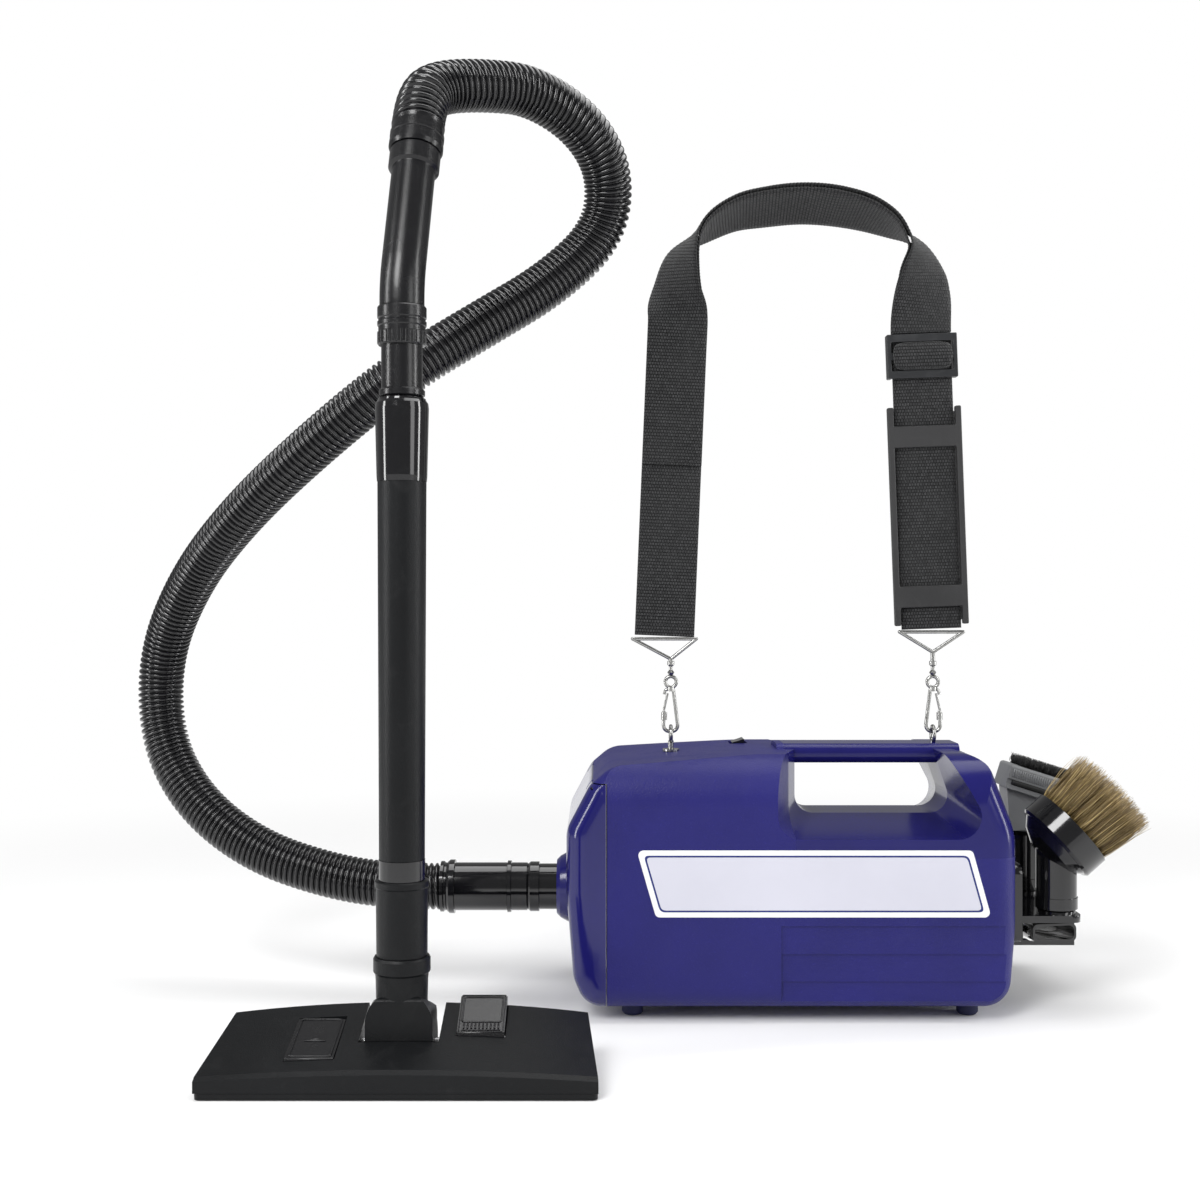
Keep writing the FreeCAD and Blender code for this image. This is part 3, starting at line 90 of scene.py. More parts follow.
def add_floor():
    """A plain pale floor that fades into the backdrop's white away from the object."""
    half = 9.0
    mesh = bpy.data.meshes.new("floor")
    corners = [(-half, -half, 0), (half, -half, 0), (half, half, 0), (-half, half, 0)]
    mesh.from_pydata(corners, [], [(0, 1, 2, 3)])
    floor = bpy.data.objects.new("floor", mesh)
    floor.location.z = -0.0006
    bpy.context.scene.collection.objects.link(floor)
    paint = bpy.data.materials.new("studio_floor")
    paint.use_nodes = True
    tree = paint.node_tree
    shader = tree.nodes["Principled BSDF"]
    where = tree.nodes.new("ShaderNodeTexCoord")
    reach = tree.nodes.new("ShaderNodeVectorMath")
    reach.operation = "LENGTH"
    fade = tree.nodes.new("ShaderNodeMapRange")
    fade.interpolation_type = "SMOOTHSTEP"
    fade.inputs["From Min"].default_value = 0.38
    fade.inputs["From Max"].default_value = 1.5
    glow = tree.nodes.new("ShaderNodeEmission")
    glow.inputs["Color"].default_value = (BACKDROP, BACKDROP, BACKDROP, 1)
    blend = tree.nodes.new("ShaderNodeMixShader")
    tree.links.new(where.outputs["Object"], reach.inputs[0])
    tree.links.new(reach.outputs["Value"], fade.inputs["Value"])
    tree.links.new(fade.outputs["Result"], blend.inputs["Fac"])
    tree.links.new(shader.outputs["BSDF"], blend.inputs[1])
    tree.links.new(glow.outputs["Emission"], blend.inputs[2])
    tree.links.new(blend.outputs["Shader"], tree.nodes["Material Output"].inputs["Surface"])
    shader.inputs["Base Color"].default_value = (0.9, 0.9, 0.9, 1)
    shader.inputs["Roughness"].default_value = 0.6
    shader.inputs["Specular IOR Level"].default_value = 0.1
    mesh.materials.append(paint)


def add_studio():
    """Soft lights round the object, and a backdrop that looks whiter than the light it gives."""
    middle = (0.0, 0.0, 0.3)
    add_area_light("key", (-0.9, -1.7, 1.8), middle, (0.7, 1.2), 36)
    add_area_light("fill", (1.8, -1.6, 1.0), middle, (0.8, 1.4), 11)
    add_area_light("left_strip", (-1.7, -0.5, 0.7), middle, (0.25, 1.8), 17)
    add_area_light("right_strip", (1.6, -0.2, 0.8), middle, (0.25, 1.6), 14)
    add_area_light("top", (0.1, 0.3, 2.2), middle, (1.6, 1.6), 26)
    world = bpy.data.worlds.new("studio")
    world.use_nodes = True
    tree = world.node_tree
    lighting = tree.nodes["Background"]
    lighting.inputs["Color"].default_value = (1.0, 1.0, 1.0, 1)
    lighting.inputs["Strength"].default_value = 0.28
    backdrop = tree.nodes.new("ShaderNodeBackground")
    backdrop.inputs["Color"].default_value = (1.0, 1.0, 1.0, 1)
    backdrop.inputs["Strength"].default_value = BACKDROP
    ray = tree.nodes.new("ShaderNodeLightPath")
    blend = tree.nodes.new("ShaderNodeMixShader")
    tree.links.new(ray.outputs["Is Camera Ray"], blend.inputs["Fac"])
    tree.links.new(lighting.outputs["Background"], blend.inputs[1])
    tree.links.new(backdrop.outputs["Background"], blend.inputs[2])
    tree.links.new(blend.outputs["Shader"], tree.nodes["World Output"].inputs["Surface"])
    scene = bpy.context.scene
    scene.world = world
    scene.view_settings.view_transform = "Standard"


add_camera()
add_studio()
add_floor()


# ------------------------------------------------------------------ mesh helpers
def new_piece(name, verts, faces, paint, body, smooth=True):
    mesh = bpy.data.meshes.new(name)
    mesh.from_pydata([tuple(v) for v in verts], [], faces)
    mesh.update()
    mesh.materials.append(paint)
    mesh.polygons.foreach_set("use_smooth", [smooth] * len(mesh.polygons))
    piece = bpy.data.objects.new(name, mesh)
    bpy.context.scene.collection.objects.link(piece)
    if body:
        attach(piece, body)
    return piece


def loft(rings, closed_ends=True):
    """Vertices and quads of a closed tube through equal rings of points."""
    rings = np.asarray(rings, float)
    count, around = rings.shape[:2]
    start = np.arange(count - 1)[:, None] * around
    here = np.arange(around)[None, :]
    after = (here + 1) % around
    quads = np.stack([start + here, start + after, start + around + after, start + around + here], -1)
    faces = quads.reshape(-1, 4).tolist()
    if closed_ends:
        faces.append(list(range(around))[::-1])
        faces.append([(count - 1) * around + i for i in range(around)])
    return rings.reshape(-1, 3), faces


def merge(parts):
    """One vertex and face list from several."""
    verts, faces, base = [], [], 0
    for part_verts, part_faces in parts:
        verts.extend(tuple(v) for v in part_verts)
        faces.extend([index + base for index in face] for face in part_faces)
        base += len(part_verts)
    return verts, faces


def evenly(points, step):
    """The points of a line, spaced evenly, and how far along it each one is."""
    points = np.asarray(points, float)
    gaps = np.linalg.norm(np.diff(points, axis=0), axis=1)
    along = np.concatenate([[0.0], np.cumsum(gaps)])
    count = max(2, int(round(along[-1] / step)) + 1)
    wanted = np.linspace(0.0, along[-1], count)
    return np.stack([np.interp(wanted, along, points[:, k]) for k in range(3)], -1), wanted


def frames_along(points):
    """Two sides square to the line at every point, with no twist between neighbours."""
    tangents = np.gradient(points, axis=0)
    tangents /= np.linalg.norm(tangents, axis=1)[:, None]
    side = np.cross(tangents[0], (0.0, 0.0, 1.0))
    sides = []
    for tangent in tangents:
        side = side - tangent * np.dot(side, tangent)
        side = side / np.linalg.norm(side)
        sides.append(side)
    sides = np.array(sides)
    return sides, np.cross(tangents, sides)


def rounded_box(size, corner, place=(0, 0, 0), steps=2):
    """Vertices and faces of a box with rounded upright edges and bevelled rims."""
    half = [s / 2 for s in size]
    rings = []
    for level, inset in ((-half[2], corner * 0.5), (-half[2] + corner * 0.5, 0.0),
                         (half[2] - corner * 0.5, 0.0), (half[2], corner * 0.5)):
        ring = []
        for quarter, (sx, sy) in enumerate(((1, 1), (-1, 1), (-1, -1), (1, -1))):
            for k in range(steps + 1):
                angle = math.pi / 2 * (quarter + k / steps)
                reach = corner - inset
                ring.append((sx * (half[0] - corner) + reach * math.cos(angle) + place[0],
                             sy * (half[1] - corner) + reach * math.sin(angle) + place[1], level + place[2]))
        rings.append(ring)
    return loft(rings)


# ------------------------------------------------------------------ materials
def shader_of(name):
    paint = bpy.data.materials.new(name)
    paint.use_nodes = True
    tree = paint.node_tree
    return paint, tree, tree.nodes["Principled BSDF"]


def add_node(tree, kind, settings=None, **inputs):
    node = tree.nodes.new(kind)
    for key, value in (settings or {}).items():
        setattr(node, key, value)
    for key, value in inputs.items():
        socket = node.inputs[key.replace("_", " ")]
        if isinstance(value, bpy.types.NodeSocket):
            tree.links.new(value, socket)
        else:
            socket.default_value = value
    return node


def noise(tree, coords, scale, detail=3.0, distortion=0.0):
    return add_node(tree, "ShaderNodeTexNoise", Vector=coords, Scale=scale, Detail=detail,
                    Distortion=distortion).outputs["Fac"]


def spread(tree, value, low, high, to_low=0.0, to_high=1.0):
    node = add_node(tree, "ShaderNodeMapRange", Value=value)
    for key, number in (("From Min", low), ("From Max", high), ("To Min", to_low), ("To Max", to_high)):
        node.inputs[key].default_value = number
    return node.outputs["Result"]


def times(tree, a, b):
    node = add_node(tree, "ShaderNodeMath", {"operation": "MULTIPLY"})
    for socket, value in zip(node.inputs, (a, b)):
        if isinstance(value, bpy.types.NodeSocket):
            tree.links.new(value, socket)
        else:
            socket.default_value = value
    return node.outputs[0]


def plus(tree, a, b):
    node = add_node(tree, "ShaderNodeMath", {"operation": "ADD"})
    for socket, value in zip(node.inputs, (a, b)):
        if isinstance(value, bpy.types.NodeSocket):
            tree.links.new(value, socket)
        else:
            socket.default_value = value
    return node.outputs[0]


def blend_colours(tree, factor, first, second):
    node = add_node(tree, "ShaderNodeMix", {"data_type": "RGBA"})
    tree.links.new(factor, node.inputs["Factor"])
    for socket, value in ((node.inputs[6], first), (node.inputs[7], second)):
        if isinstance(value, bpy.types.NodeSocket):
            tree.links.new(value, socket)
        else:
            socket.default_value = (*value, 1.0)
    return node.outputs[2]


def tinted(colour, share):
    return tuple(min(1.0, c * share) for c in colour)


def object_coords(tree):
    return add_node(tree, "ShaderNodeTexCoord").outputs["Object"]


def moulded(name, colour, rough, grain=0.1, grain_scale=1500.0, metal=0.0, coat=0.0, worn=0.3, vary=0.12,
            specular=0.4, gloss_zone=False):
    """Moulded plastic, rubber or metal: mottled colour, fine grain and faint scuffs.

    grain is the grain's depth in millimetres and worn how far the scuffs dull it."""
    paint, tree, shader = shader_of(name)
    coords = object_coords(tree)
    mottle = noise(tree, coords, 14.0, 4.0)
    scuffs = spread(tree, noise(tree, coords, 55.0, 8.0, 1.6), 0.56, 0.74)
    colour_low = tinted(colour, 1.0 - vary)
    colour_high = tinted(colour, 1.0 + vary)
    base = blend_colours(tree, spread(tree, mottle, 0.3, 0.7), colour_low, colour_high)
    marks = tuple(c * 0.75 + 0.03 for c in colour)
    base = blend_colours(tree, times(tree, scuffs, 0.35 * worn), base, marks)
    grain_noise = noise(tree, coords, grain_scale, 2.0)
    finish = spread(tree, mottle, 0.25, 0.75, rough * 0.88, rough * 1.12)
    finish = plus(tree, finish, times(tree, scuffs, 0.3 * worn))
    bump = add_node(tree, "ShaderNodeBump", Height=grain_noise, Strength=0.9, Distance=grain * MM)
    if gloss_zone:
        place = add_node(tree, "ShaderNodeSeparateXYZ", Vector=coords)
        behind = spread(tree, place.outputs["X"], GLOSS_X - 0.0006, GLOSS_X + 0.0006)
        above = spread(tree, place.outputs["Z"], GLOSS_Z - 0.0006, GLOSS_Z + 0.0006)
        zone = times(tree, behind, above)
        matt = spread(tree, zone, 0.0, 1.0, 1.0, 0.06)
        finish = times(tree, finish, spread(tree, zone, 0.0, 1.0, 1.0, 0.45))
        tree.links.new(times(tree, matt, 0.9), bump.inputs["Strength"])
        # Painted highlight: in the matt zone the grain's raised peaks are lightened, as if catching the
        # light.
        grain_glint = spread(tree, grain_noise, 0.62, 0.8)
        base = blend_colours(tree, times(tree, times(tree, grain_glint, matt), 0.5), base, tinted(colour, 2.0))
        base = blend_colours(tree, times(tree, zone, 0.35), base, tinted(colour, 0.6))
    tree.links.new(base, shader.inputs["Base Color"])
    tree.links.new(finish, shader.inputs["Roughness"])
    tree.links.new(bump.outputs["Normal"], shader.inputs["Normal"])
    shader.inputs["Metallic"].default_value = metal
    shader.inputs["Coat Weight"].default_value = coat
    shader.inputs["Coat Roughness"].default_value = 0.06
    shader.inputs["Specular IOR Level"].default_value = specular
    return paint


def brushed(name, colour, rough):
    """Drawn or turned metal, with fine streaks along Z."""
    paint, tree, shader = shader_of(name)
    coords = object_coords(tree)
    stretch = add_node(tree, "ShaderNodeMapping", Vector=coords)
    stretch.inputs["Scale"].default_value = (900.0, 900.0, 60.0)
    streaks = noise(tree, stretch.outputs["Vector"], 1.0, 3.0)
    spots = noise(tree, coords, 120.0, 5.0)
    tree.links.new(blend_colours(tree, spread(tree, spots, 0.35, 0.75), colour, tinted(colour, 0.72)),
                   shader.inputs["Base Color"])
    tree.links.new(spread(tree, streaks, 0.3, 0.7, rough * 0.7, rough * 1.4), shader.inputs["Roughness"])
    bump = add_node(tree, "ShaderNodeBump", Height=streaks, Strength=0.4, Distance=0.04 * MM)
    tree.links.new(bump.outputs["Normal"], shader.inputs["Normal"])
    shader.inputs["Metallic"].default_value = 1.0
    return paint


def woven(name, thread, shaded_gap, row, cell, sheen):
    """Webbing: rows of small raised floats over a ground painted dark as the shade between them, placed by
    the ribbon's own UV in metres.
    """
    paint, tree, shader = shader_of(name)
    where = add_node(tree, "ShaderNodeTexCoord").outputs["UV"]
    bricks = add_node(tree, "ShaderNodeTexBrick", {"offset": 0.5, "offset_frequency": 2},
                      Vector=where, Scale=1.0)
    bricks.inputs["Brick Width"].default_value = cell
    bricks.inputs["Row Height"].default_value = row
    bricks.inputs["Mortar Size"].default_value = row * 0.2
    bricks.inputs["Mortar Smooth"].default_value = 0.8
    bricks.inputs["Color1"].default_value = (*thread, 1)
    bricks.inputs["Color2"].default_value = (*tinted(thread, 0.55), 1)
    bricks.inputs["Mortar"].default_value = (*shaded_gap, 1)
    fuzz = noise(tree, object_coords(tree), 2200.0, 2.0)
    fade = noise(tree, object_coords(tree), 30.0, 3.0)
    # Painted shade: the mortar between the floats, and here and there the fine fuzz, take the shaded gap
    # colour.
    colour = blend_colours(tree, spread(tree, fuzz, 0.3, 0.9), bricks.outputs["Color"], shaded_gap)
    colour = blend_colours(tree, spread(tree, fade, 0.35, 0.9, 0.0, 0.4), colour, tinted(thread, 0.5))
    tree.links.new(colour, shader.inputs["Base Color"])
    tree.links.new(spread(tree, fuzz, 0.2, 0.8, 0.62, 0.85), shader.inputs["Roughness"])
    height = plus(tree, times(tree, bricks.outputs["Fac"], -1.0), times(tree, fuzz, 0.35))
    bump = add_node(tree, "ShaderNodeBump", Height=height, Strength=1.0, Distance=0.35 * MM)
    tree.links.new(bump.outputs["Normal"], shader.inputs["Normal"])
    shader.inputs["Sheen Weight"].default_value = sheen
    shader.inputs["Specular IOR Level"].default_value = 0.15
    return paint


def bristled(name, dark, light, rough):
    """Bristles: each one's tone comes from the mesh, with streaks along it."""
    paint, tree, shader = shader_of(name)
    tone = add_node(tree, "ShaderNodeAttribute", {"attribute_name": "tone"}).outputs["Fac"]
    streak = noise(tree, object_coords(tree), 700.0, 3.0)
    colour = blend_colours(tree, tone, dark, light)
    colour = blend_colours(tree, spread(tree, streak, 0.4, 0.9, 0.0, 0.5), colour, tinted(dark, 0.5))
    tree.links.new(colour, shader.inputs["Base Color"])
    tree.links.new(spread(tree, streak, 0.3, 0.7, rough * 0.8, rough * 1.2), shader.inputs["Roughness"])
    bump = add_node(tree, "ShaderNodeBump", Height=streak, Strength=0.5, Distance=0.05 * MM)
    tree.links.new(bump.outputs["Normal"], shader.inputs["Normal"])
    return paint


GLOSS_X = 0.0665
GLOSS_Z = 0.1285
BLUE = (0.0125, 0.0115, 0.125)
paints = {
    "casing": moulded("blue_casing", BLUE, 0.38, 0.35, 900.0, worn=0.2, specular=0.28, gloss_zone=True),
    "cover": moulded("blue_cover", tinted(BLUE, 0.85), 0.14, 0.02, 600.0, coat=0.25, worn=0.1, specular=0.3),
    "gloss": moulded("gloss_black", (0.004, 0.004, 0.005), 0.11, 0.015, 500.0, coat=0.5, worn=0.15),
    "satin": moulded("satin_black", (0.0055, 0.006, 0.0068), 0.38, 0.22, 1100.0, worn=0.35, specular=0.2),
    "fine": moulded("fine_black", (0.005, 0.005, 0.006), 0.25, 0.1, 1500.0, coat=0.12, worn=0.15,
                    specular=0.4),
    "hose": moulded("hose_vinyl", (0.005, 0.005, 0.006), 0.2, 0.02, 1500.0, coat=0.35, worn=0.12),
    "rubber": moulded("black_rubber", (0.014, 0.014, 0.014), 0.62, 0.12, 900.0, worn=0.4, specular=0.25),
    "feet": moulded("blue_rubber", (0.010, 0.012, 0.055), 0.5, 0.12, 900.0, worn=0.3, specular=0.3),
    "pad": moulded("pad_rubber", (0.034, 0.034, 0.035), 0.42, 0.12, 1200.0, worn=0.4, specular=0.25),
    "slider": moulded("slider_nylon", (0.020, 0.021, 0.023), 0.36, 0.1, 1300.0, worn=0.4),
    "grey": moulded("grey_plastic", (0.19, 0.195, 0.2), 0.32, 0.06, 1200.0, worn=0.3),
    "white": moulded("badge_white", (0.83, 0.83, 0.86), 0.24, 0.02, 500.0, worn=0.05, vary=0.02),
    "field": moulded("badge_field", (0.60, 0.60, 0.68), 0.24, 0.02, 500.0, worn=0.05, vary=0.03),
    "line": moulded("badge_line", (0.02, 0.03, 0.16), 0.24, 0.02, 500.0, worn=0.05),
    "chrome": brushed("nickel_wire", (0.42, 0.42, 0.41), 0.2),
    "steel": brushed("turned_steel", (0.52, 0.52, 0.53), 0.3),
    "alloy": brushed("spun_alloy", (0.74, 0.74, 0.74), 0.35),
    "iron": moulded("motor_iron", (0.09, 0.088, 0.085), 0.5, 0.2, 700.0, metal=0.8, worn=0.6),
    "felt": moulded("filter_felt", (0.7, 0.7, 0.68), 0.9, 0.5, 800.0, worn=0.1),
    "paper": moulded("bag_paper", (0.66, 0.61, 0.52), 0.85, 0.25, 500.0, worn=0.1),
    "card": moulded("bag_card", (0.5, 0.4, 0.27), 0.8, 0.15, 500.0, worn=0.2),
    # the webbing's second colour is the painted shade between the woven floats
    "webbing": woven("webbing", (0.070, 0.071, 0.073), (0.002, 0.002, 0.0025), 2.7 * MM, 2.3 * MM, 0.15),
    "thread": moulded("stitch_thread", (0.03, 0.03, 0.032), 0.7, 0.1, 3000.0),
    "golden": bristled("golden_bristle", (0.060, 0.031, 0.004), (0.62, 0.46, 0.20), 0.35),
    "pile": bristled("black_pile", (0.004, 0.004, 0.004), (0.035, 0.035, 0.036), 0.6),
}

DRESS = {
    "casing": ["near_shell", "far_shell"],
    "cover": ["front_cover", "cover_latch"],
    "gloss": ["machine_cuff", "wand_band", "wand_collar", "tool_caddy", "dusting_brush", "upholstery_neck",
              "crevice_tool", "power_switch"],
    "satin": ["wand_tube", "head_cover", "head_base", "floor_elbow", "tool_socket", "exhaust_grille",
              "switch_housing", "motor_bulkhead", "bearing_plates"],
    "fine": ["hose_hand_cuff", "hand_tube", "lock_ring", "left_pedal", "right_pedal"],
    "feet": ["rubber_feet"],
    "rubber": ["cord_gland", "motor_mounts", "inlet_seal"],
    "pad": ["pad_frame"],
    "slider": ["slider_buckle"],
    "grey": ["upholstery_nozzle"],
    "white": ["side_badge"],
    "chrome": ["strap_eyes", "strap_triangles", "hook_swivels", "snap_hooks", "front_hook_gate",
               "rear_hook_gate"],
    "steel": ["cover_hinge_pin", "switch_pin", "motor_can", "motor_bearings", "motor_shaft", "case_screws",
              "head_pins"],
    "alloy": ["fan_impeller"],
    "iron": ["motor_stator", "armature"],
    "felt": ["exhaust_filter", "motor_filter"],
    "card": ["bag_collar"],
}


def dress_nodes():
    for paint_name, names in DRESS.items():
        for name in names:
            mesh = NODES[name].data
            mesh.materials.clear()
            mesh.materials.append(paints[paint_name])


dress_nodes()


def soften_edges():
    """Small rounded edges on the squarer moulded parts; the meshes themselves stay as they are."""
    for name, width in (("pad_frame", 1.1), ("slider_buckle", 0.8), ("left_pedal", 0.6), ("right_pedal", 0.8),
                        ("tool_caddy", 0.5), ("side_badge", 0.2)):
        node = NODES[name]
        weld = node.modifiers.new("weld", "WELD")
        weld.merge_threshold = 0.00001
        bevel = node.modifiers.new("bevel", "BEVEL")
        bevel.width = width * MM
        bevel.segments = 2
        bevel.limit_method = "ANGLE"
        bevel.angle_limit = math.radians(38.0)
        bevel.harden_normals = True


soften_edges()


# ------------------------------------------------------------------ hose
HOSE_DIAMETER = 0.0385
HOSE_ROUTE = [
    (-0.2187, 0.0825, 0.0890), (-0.2576, 0.0825, 0.0890), (-0.3136, 0.0921, 0.0955),
    (-0.3806, 0.1061, 0.1150), (-0.4371, 0.1241, 0.1530), (-0.4716, 0.1441, 0.2060),
    (-0.4731, 0.1441, 0.2810), (-0.4371, 0.1091, 0.3465), (-0.3831, 0.0641, 0.4005),
    (-0.3136, 0.0241, 0.4550), (-0.2422, -0.0009, 0.5070), (-0.1792, 0.0191, 0.5495),
    (-0.1257, 0.0391, 0.5855), (-0.0827, 0.0441, 0.6270), (-0.0767, 0.0291, 0.6715),
    (-0.0972, 0.0041, 0.7030), (-0.1377, -0.0209, 0.7225), (-0.1747, -0.0449, 0.7180),
    (-0.2050, -0.0625, 0.7105), (-0.2165, -0.0780, 0.6960), (-0.2176, -0.0862, 0.6734),
]


def hose_line():
    """The points of the smooth line that the hose follows."""
    data = bpy.data.curves.new("hose_line", "CURVE")
    data.dimensions = "3D"
    data.resolution_u = 32
    spline = data.splines.new("NURBS")
    spline.points.add(len(HOSE_ROUTE) - 1)
    for point, place in zip(spline.points, HOSE_ROUTE):
        point.co = (*place, 1.0)
    spline.order_u = 3
    spline.use_endpoint_u = True
    line = bpy.data.objects.new("hose_line", data)
    mesh = bpy.data.meshes.new_from_object(line)
    points = [vertex.co.copy() for vertex in mesh.vertices]
    bpy.data.objects.remove(line)
    bpy.data.meshes.remove(mesh)
    return points


def make_hose():
    """A corrugated tube: one rib winds round the hose from end to end."""
    pitch = 4.9 * MM
    depth = 2.7 * MM
    around, steps_per_rib = 40, 9
    line = hose_line()
    points, along = evenly(line, pitch / steps_per_rib)
    sides, ups = frames_along(points)
    angles = np.arange(around) * (2 * math.pi / around)
    turns = along[:, None] / pitch - angles[None, :] / (2 * math.pi)
    valley = (0.5 - 0.5 * np.cos(2 * math.pi * turns)) ** 2.0
    radius = HOSE_DIAMETER / 2 - depth * valley
    rings = (points[:, None, :] + radius[..., None] * (np.cos(angles)[None, :, None] * sides[:, None, :]
                                                       + np.sin(angles)[None, :, None] * ups[:, None, :]))
    verts, faces = loft(rings)
    hose = new_piece("hose_corrugated", verts, faces, paints["hose"], None)
    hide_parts("hose")
    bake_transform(hose)


make_hose()


# ------------------------------------------------------------------ strap
CAN_Y = 0.0825
WEB_WIDTH = 0.050
WEB_THICKNESS = 0.0022
WEFT_PITCH = 0.0027
# the strap's rear leg: how far it leans along X over its straight height
REAR_LEG_RUN = 0.1837 - 0.1929
REAR_LEG_RISE = 0.5545 - 0.305
STRAP_STATIONS = [
    (-31.4, 299.2, 0), (-25.9, 430.0, 0), (-20.4, 559.5, 0), (-19.1, 590.0, 45), (-12.5, 617.5, 68),
    (2.4, 637.0, 96), (29.2, 652.8, 108), (54.8, 657.8, 112), (85.8, 660.4, 112), (115.3, 657.8, 110),
    (141.3, 651.0, 104), (160.5, 641.0, 92), (178.2, 624.2, 64), (184.0, 601.6, 32), (183.7, 554.5, 0),
    (188.2, 430.0, 0), (192.9, 305.0, 0),
]


def smooth_stations():
    """Middle line and twist of the webbing, eased between the stations and evenly spaced."""
    table = np.array(STRAP_STATIONS, float)
    steps = np.linalg.norm(np.diff(table[:, :2], axis=0), axis=1)
    along = np.concatenate([[0.0], np.cumsum(steps)])
    slopes = np.gradient(table, along, axis=0)
    slopes[:3] = (table[2] - table[0]) / along[2]
    slopes[-3:] = (table[-1] - table[-3]) / (along[-1] - along[-3])
    wanted = np.arange(0.0, along[-1], WEFT_PITCH / MM / 4)
    place = np.clip(np.searchsorted(along, wanted, side="right") - 1, 0, len(steps) - 1)
    run = steps[place][:, None]
    t = ((wanted - along[place]) / steps[place])[:, None]
    values = ((2 * t**3 - 3 * t**2 + 1) * table[place] + (t**3 - 2 * t**2 + t) * run * slopes[place]
              + (3 * t**2 - 2 * t**3) * table[place + 1] + (t**3 - t**2) * run * slopes[place + 1])
    line = np.stack([values[:, 0] * MM, np.full(len(values), CAN_Y), values[:, 1] * MM], -1)
    return line, np.radians(values[:, 2]), wanted * MM


def ribbon(name, line, twist, along, lift, body):
    """Webbing of the strap's section along a line; lift raises it off its own inner face."""
    tangents = np.gradient(line, axis=0)
    tangents /= np.linalg.norm(tangents, axis=1)[:, None]
    in_plane = np.cross(tangents, (0.0, 1.0, 0.0))
    across = in_plane * np.cos(twist)[:, None] + np.array((0.0, 1.0, 0.0)) * np.sin(twist)[:, None]
    thick = np.cross(tangents, across)
    line = line + thick * lift[:, None]
    rib = 0.00016 * np.sin(2 * math.pi * along / WEFT_PITCH)
    count = 12
    share = np.linspace(-1.0, 1.0, count)
    offsets = [(s, 1.0) for s in share] + [(s, -1.0) for s in share[::-1]]
    rings = []
    uvs = []
    for s, face in offsets:
        edge = WEB_THICKNESS / 2 * (0.55 if abs(s) > 0.99 else 1.0)
        rings.append(line + across * (s * WEB_WIDTH / 2) + thick * (face * (edge + rib))[:, None])
        uvs.append(s * WEB_WIDTH / 2 + (0.2 if face < 0 else 0.1))
    rings = np.stack(rings, 1)
    verts, faces = loft(rings)
    piece = new_piece(name, verts, faces, paints["webbing"], body)
    layer = piece.data.uv_layers.new(name="weave")
    around = len(offsets)
    for polygon in piece.data.polygons:
        for loop_index in polygon.loop_indices:
            vertex = piece.data.loops[loop_index].vertex_index
            layer.data[loop_index].uv = (uvs[vertex % around], along[vertex // around])
    return piece


def stitch_row(first, last, count, lift, length=0.0034, width=0.0007):
    """Short raised stitches laid end to end along a line on the webbing's face."""
    first, last = np.array(first), np.array(last)
    step = (last - first) / count
    way = step / np.linalg.norm(step)
    out = np.array(lift)
    side = np.cross(way, out)
    parts = []
    for k in range(count):
        middle = first + step * (k + 0.5)
        rings = []
        for share, size in ((-0.5, 0.3), (-0.3, 1.0), (0.3, 1.0), (0.5, 0.3)):
            at = middle + way * share * length
            rings.append([at + (side * math.cos(a) + out * math.sin(a)) * width * size / 2
                          for a in np.arange(6) * math.pi / 3])
        parts.append(loft(rings))
    return parts


def make_slider_loop():
    """The webbing's fold over the slider's middle bar, between its two outer bars."""
    low, high = (np.array(v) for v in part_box("slider_buckle"))
    reach = 0.0115
    height = np.linspace(-reach, reach, 36)
    fold = np.cos(height / reach * math.pi / 2) ** 0.6
    lean = REAR_LEG_RUN / REAR_LEG_RISE
    middle = (low + high) / 2
    line = np.stack([middle[0] + height * lean, CAN_Y - 0.0028 - 0.0038 * fold, middle[2] + height], -1)
    ribbon("webbing_slider_loop", line, np.zeros(36), height + 0.5, np.zeros(36), "slider_buckle")


def make_strap():
    line, twist, along = smooth_stations()
    inner = ribbon("webbing_inner", line, twist, along, np.zeros(len(along)), "strap")
    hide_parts("strap_webbing")
    seam_z, slider_z = 0.443, 0.5525
    top = int(np.argmax(line[:, 2]))
    first = int(np.argmin(np.abs(line[:top, 2] - seam_z)))
    last = top + int(np.argmin(np.abs(line[top:, 2] - slider_z)))
    span = slice(first, last)
    share = np.linspace(0.0, 1.0, last - first)
    bulge = np.sin(np.clip((share - 0.2) / 0.72, 0.0, 1.0) * math.pi)
    lift = 0.0025 + bulge * (0.0015 + 0.0060 * share)
    outer_twist = twist[span] - np.radians(9.0) * bulge
    outer = ribbon("webbing_outer", line[span], outer_twist, along[span], lift, "strap")
    make_slider_loop()
    front = (0.0, -1.0, 0.0)
    rows = []
    leg = line[:top]
    for height, proud in ((seam_z + 0.004, 0.0037), (0.316, 0.0012), (0.309, 0.0012)):
        at = leg[int(np.argmin(np.abs(leg[:, 2] - height)))]
        start = at + np.array((-0.022, -proud, 0.0009))
        rows += stitch_row(start, start + np.array((0.044, 0.0, -0.0018)), 11, front)
    verts, faces = merge(rows)
    new_piece("strap_stitches", verts, faces, paints["thread"], "strap")


make_strap()


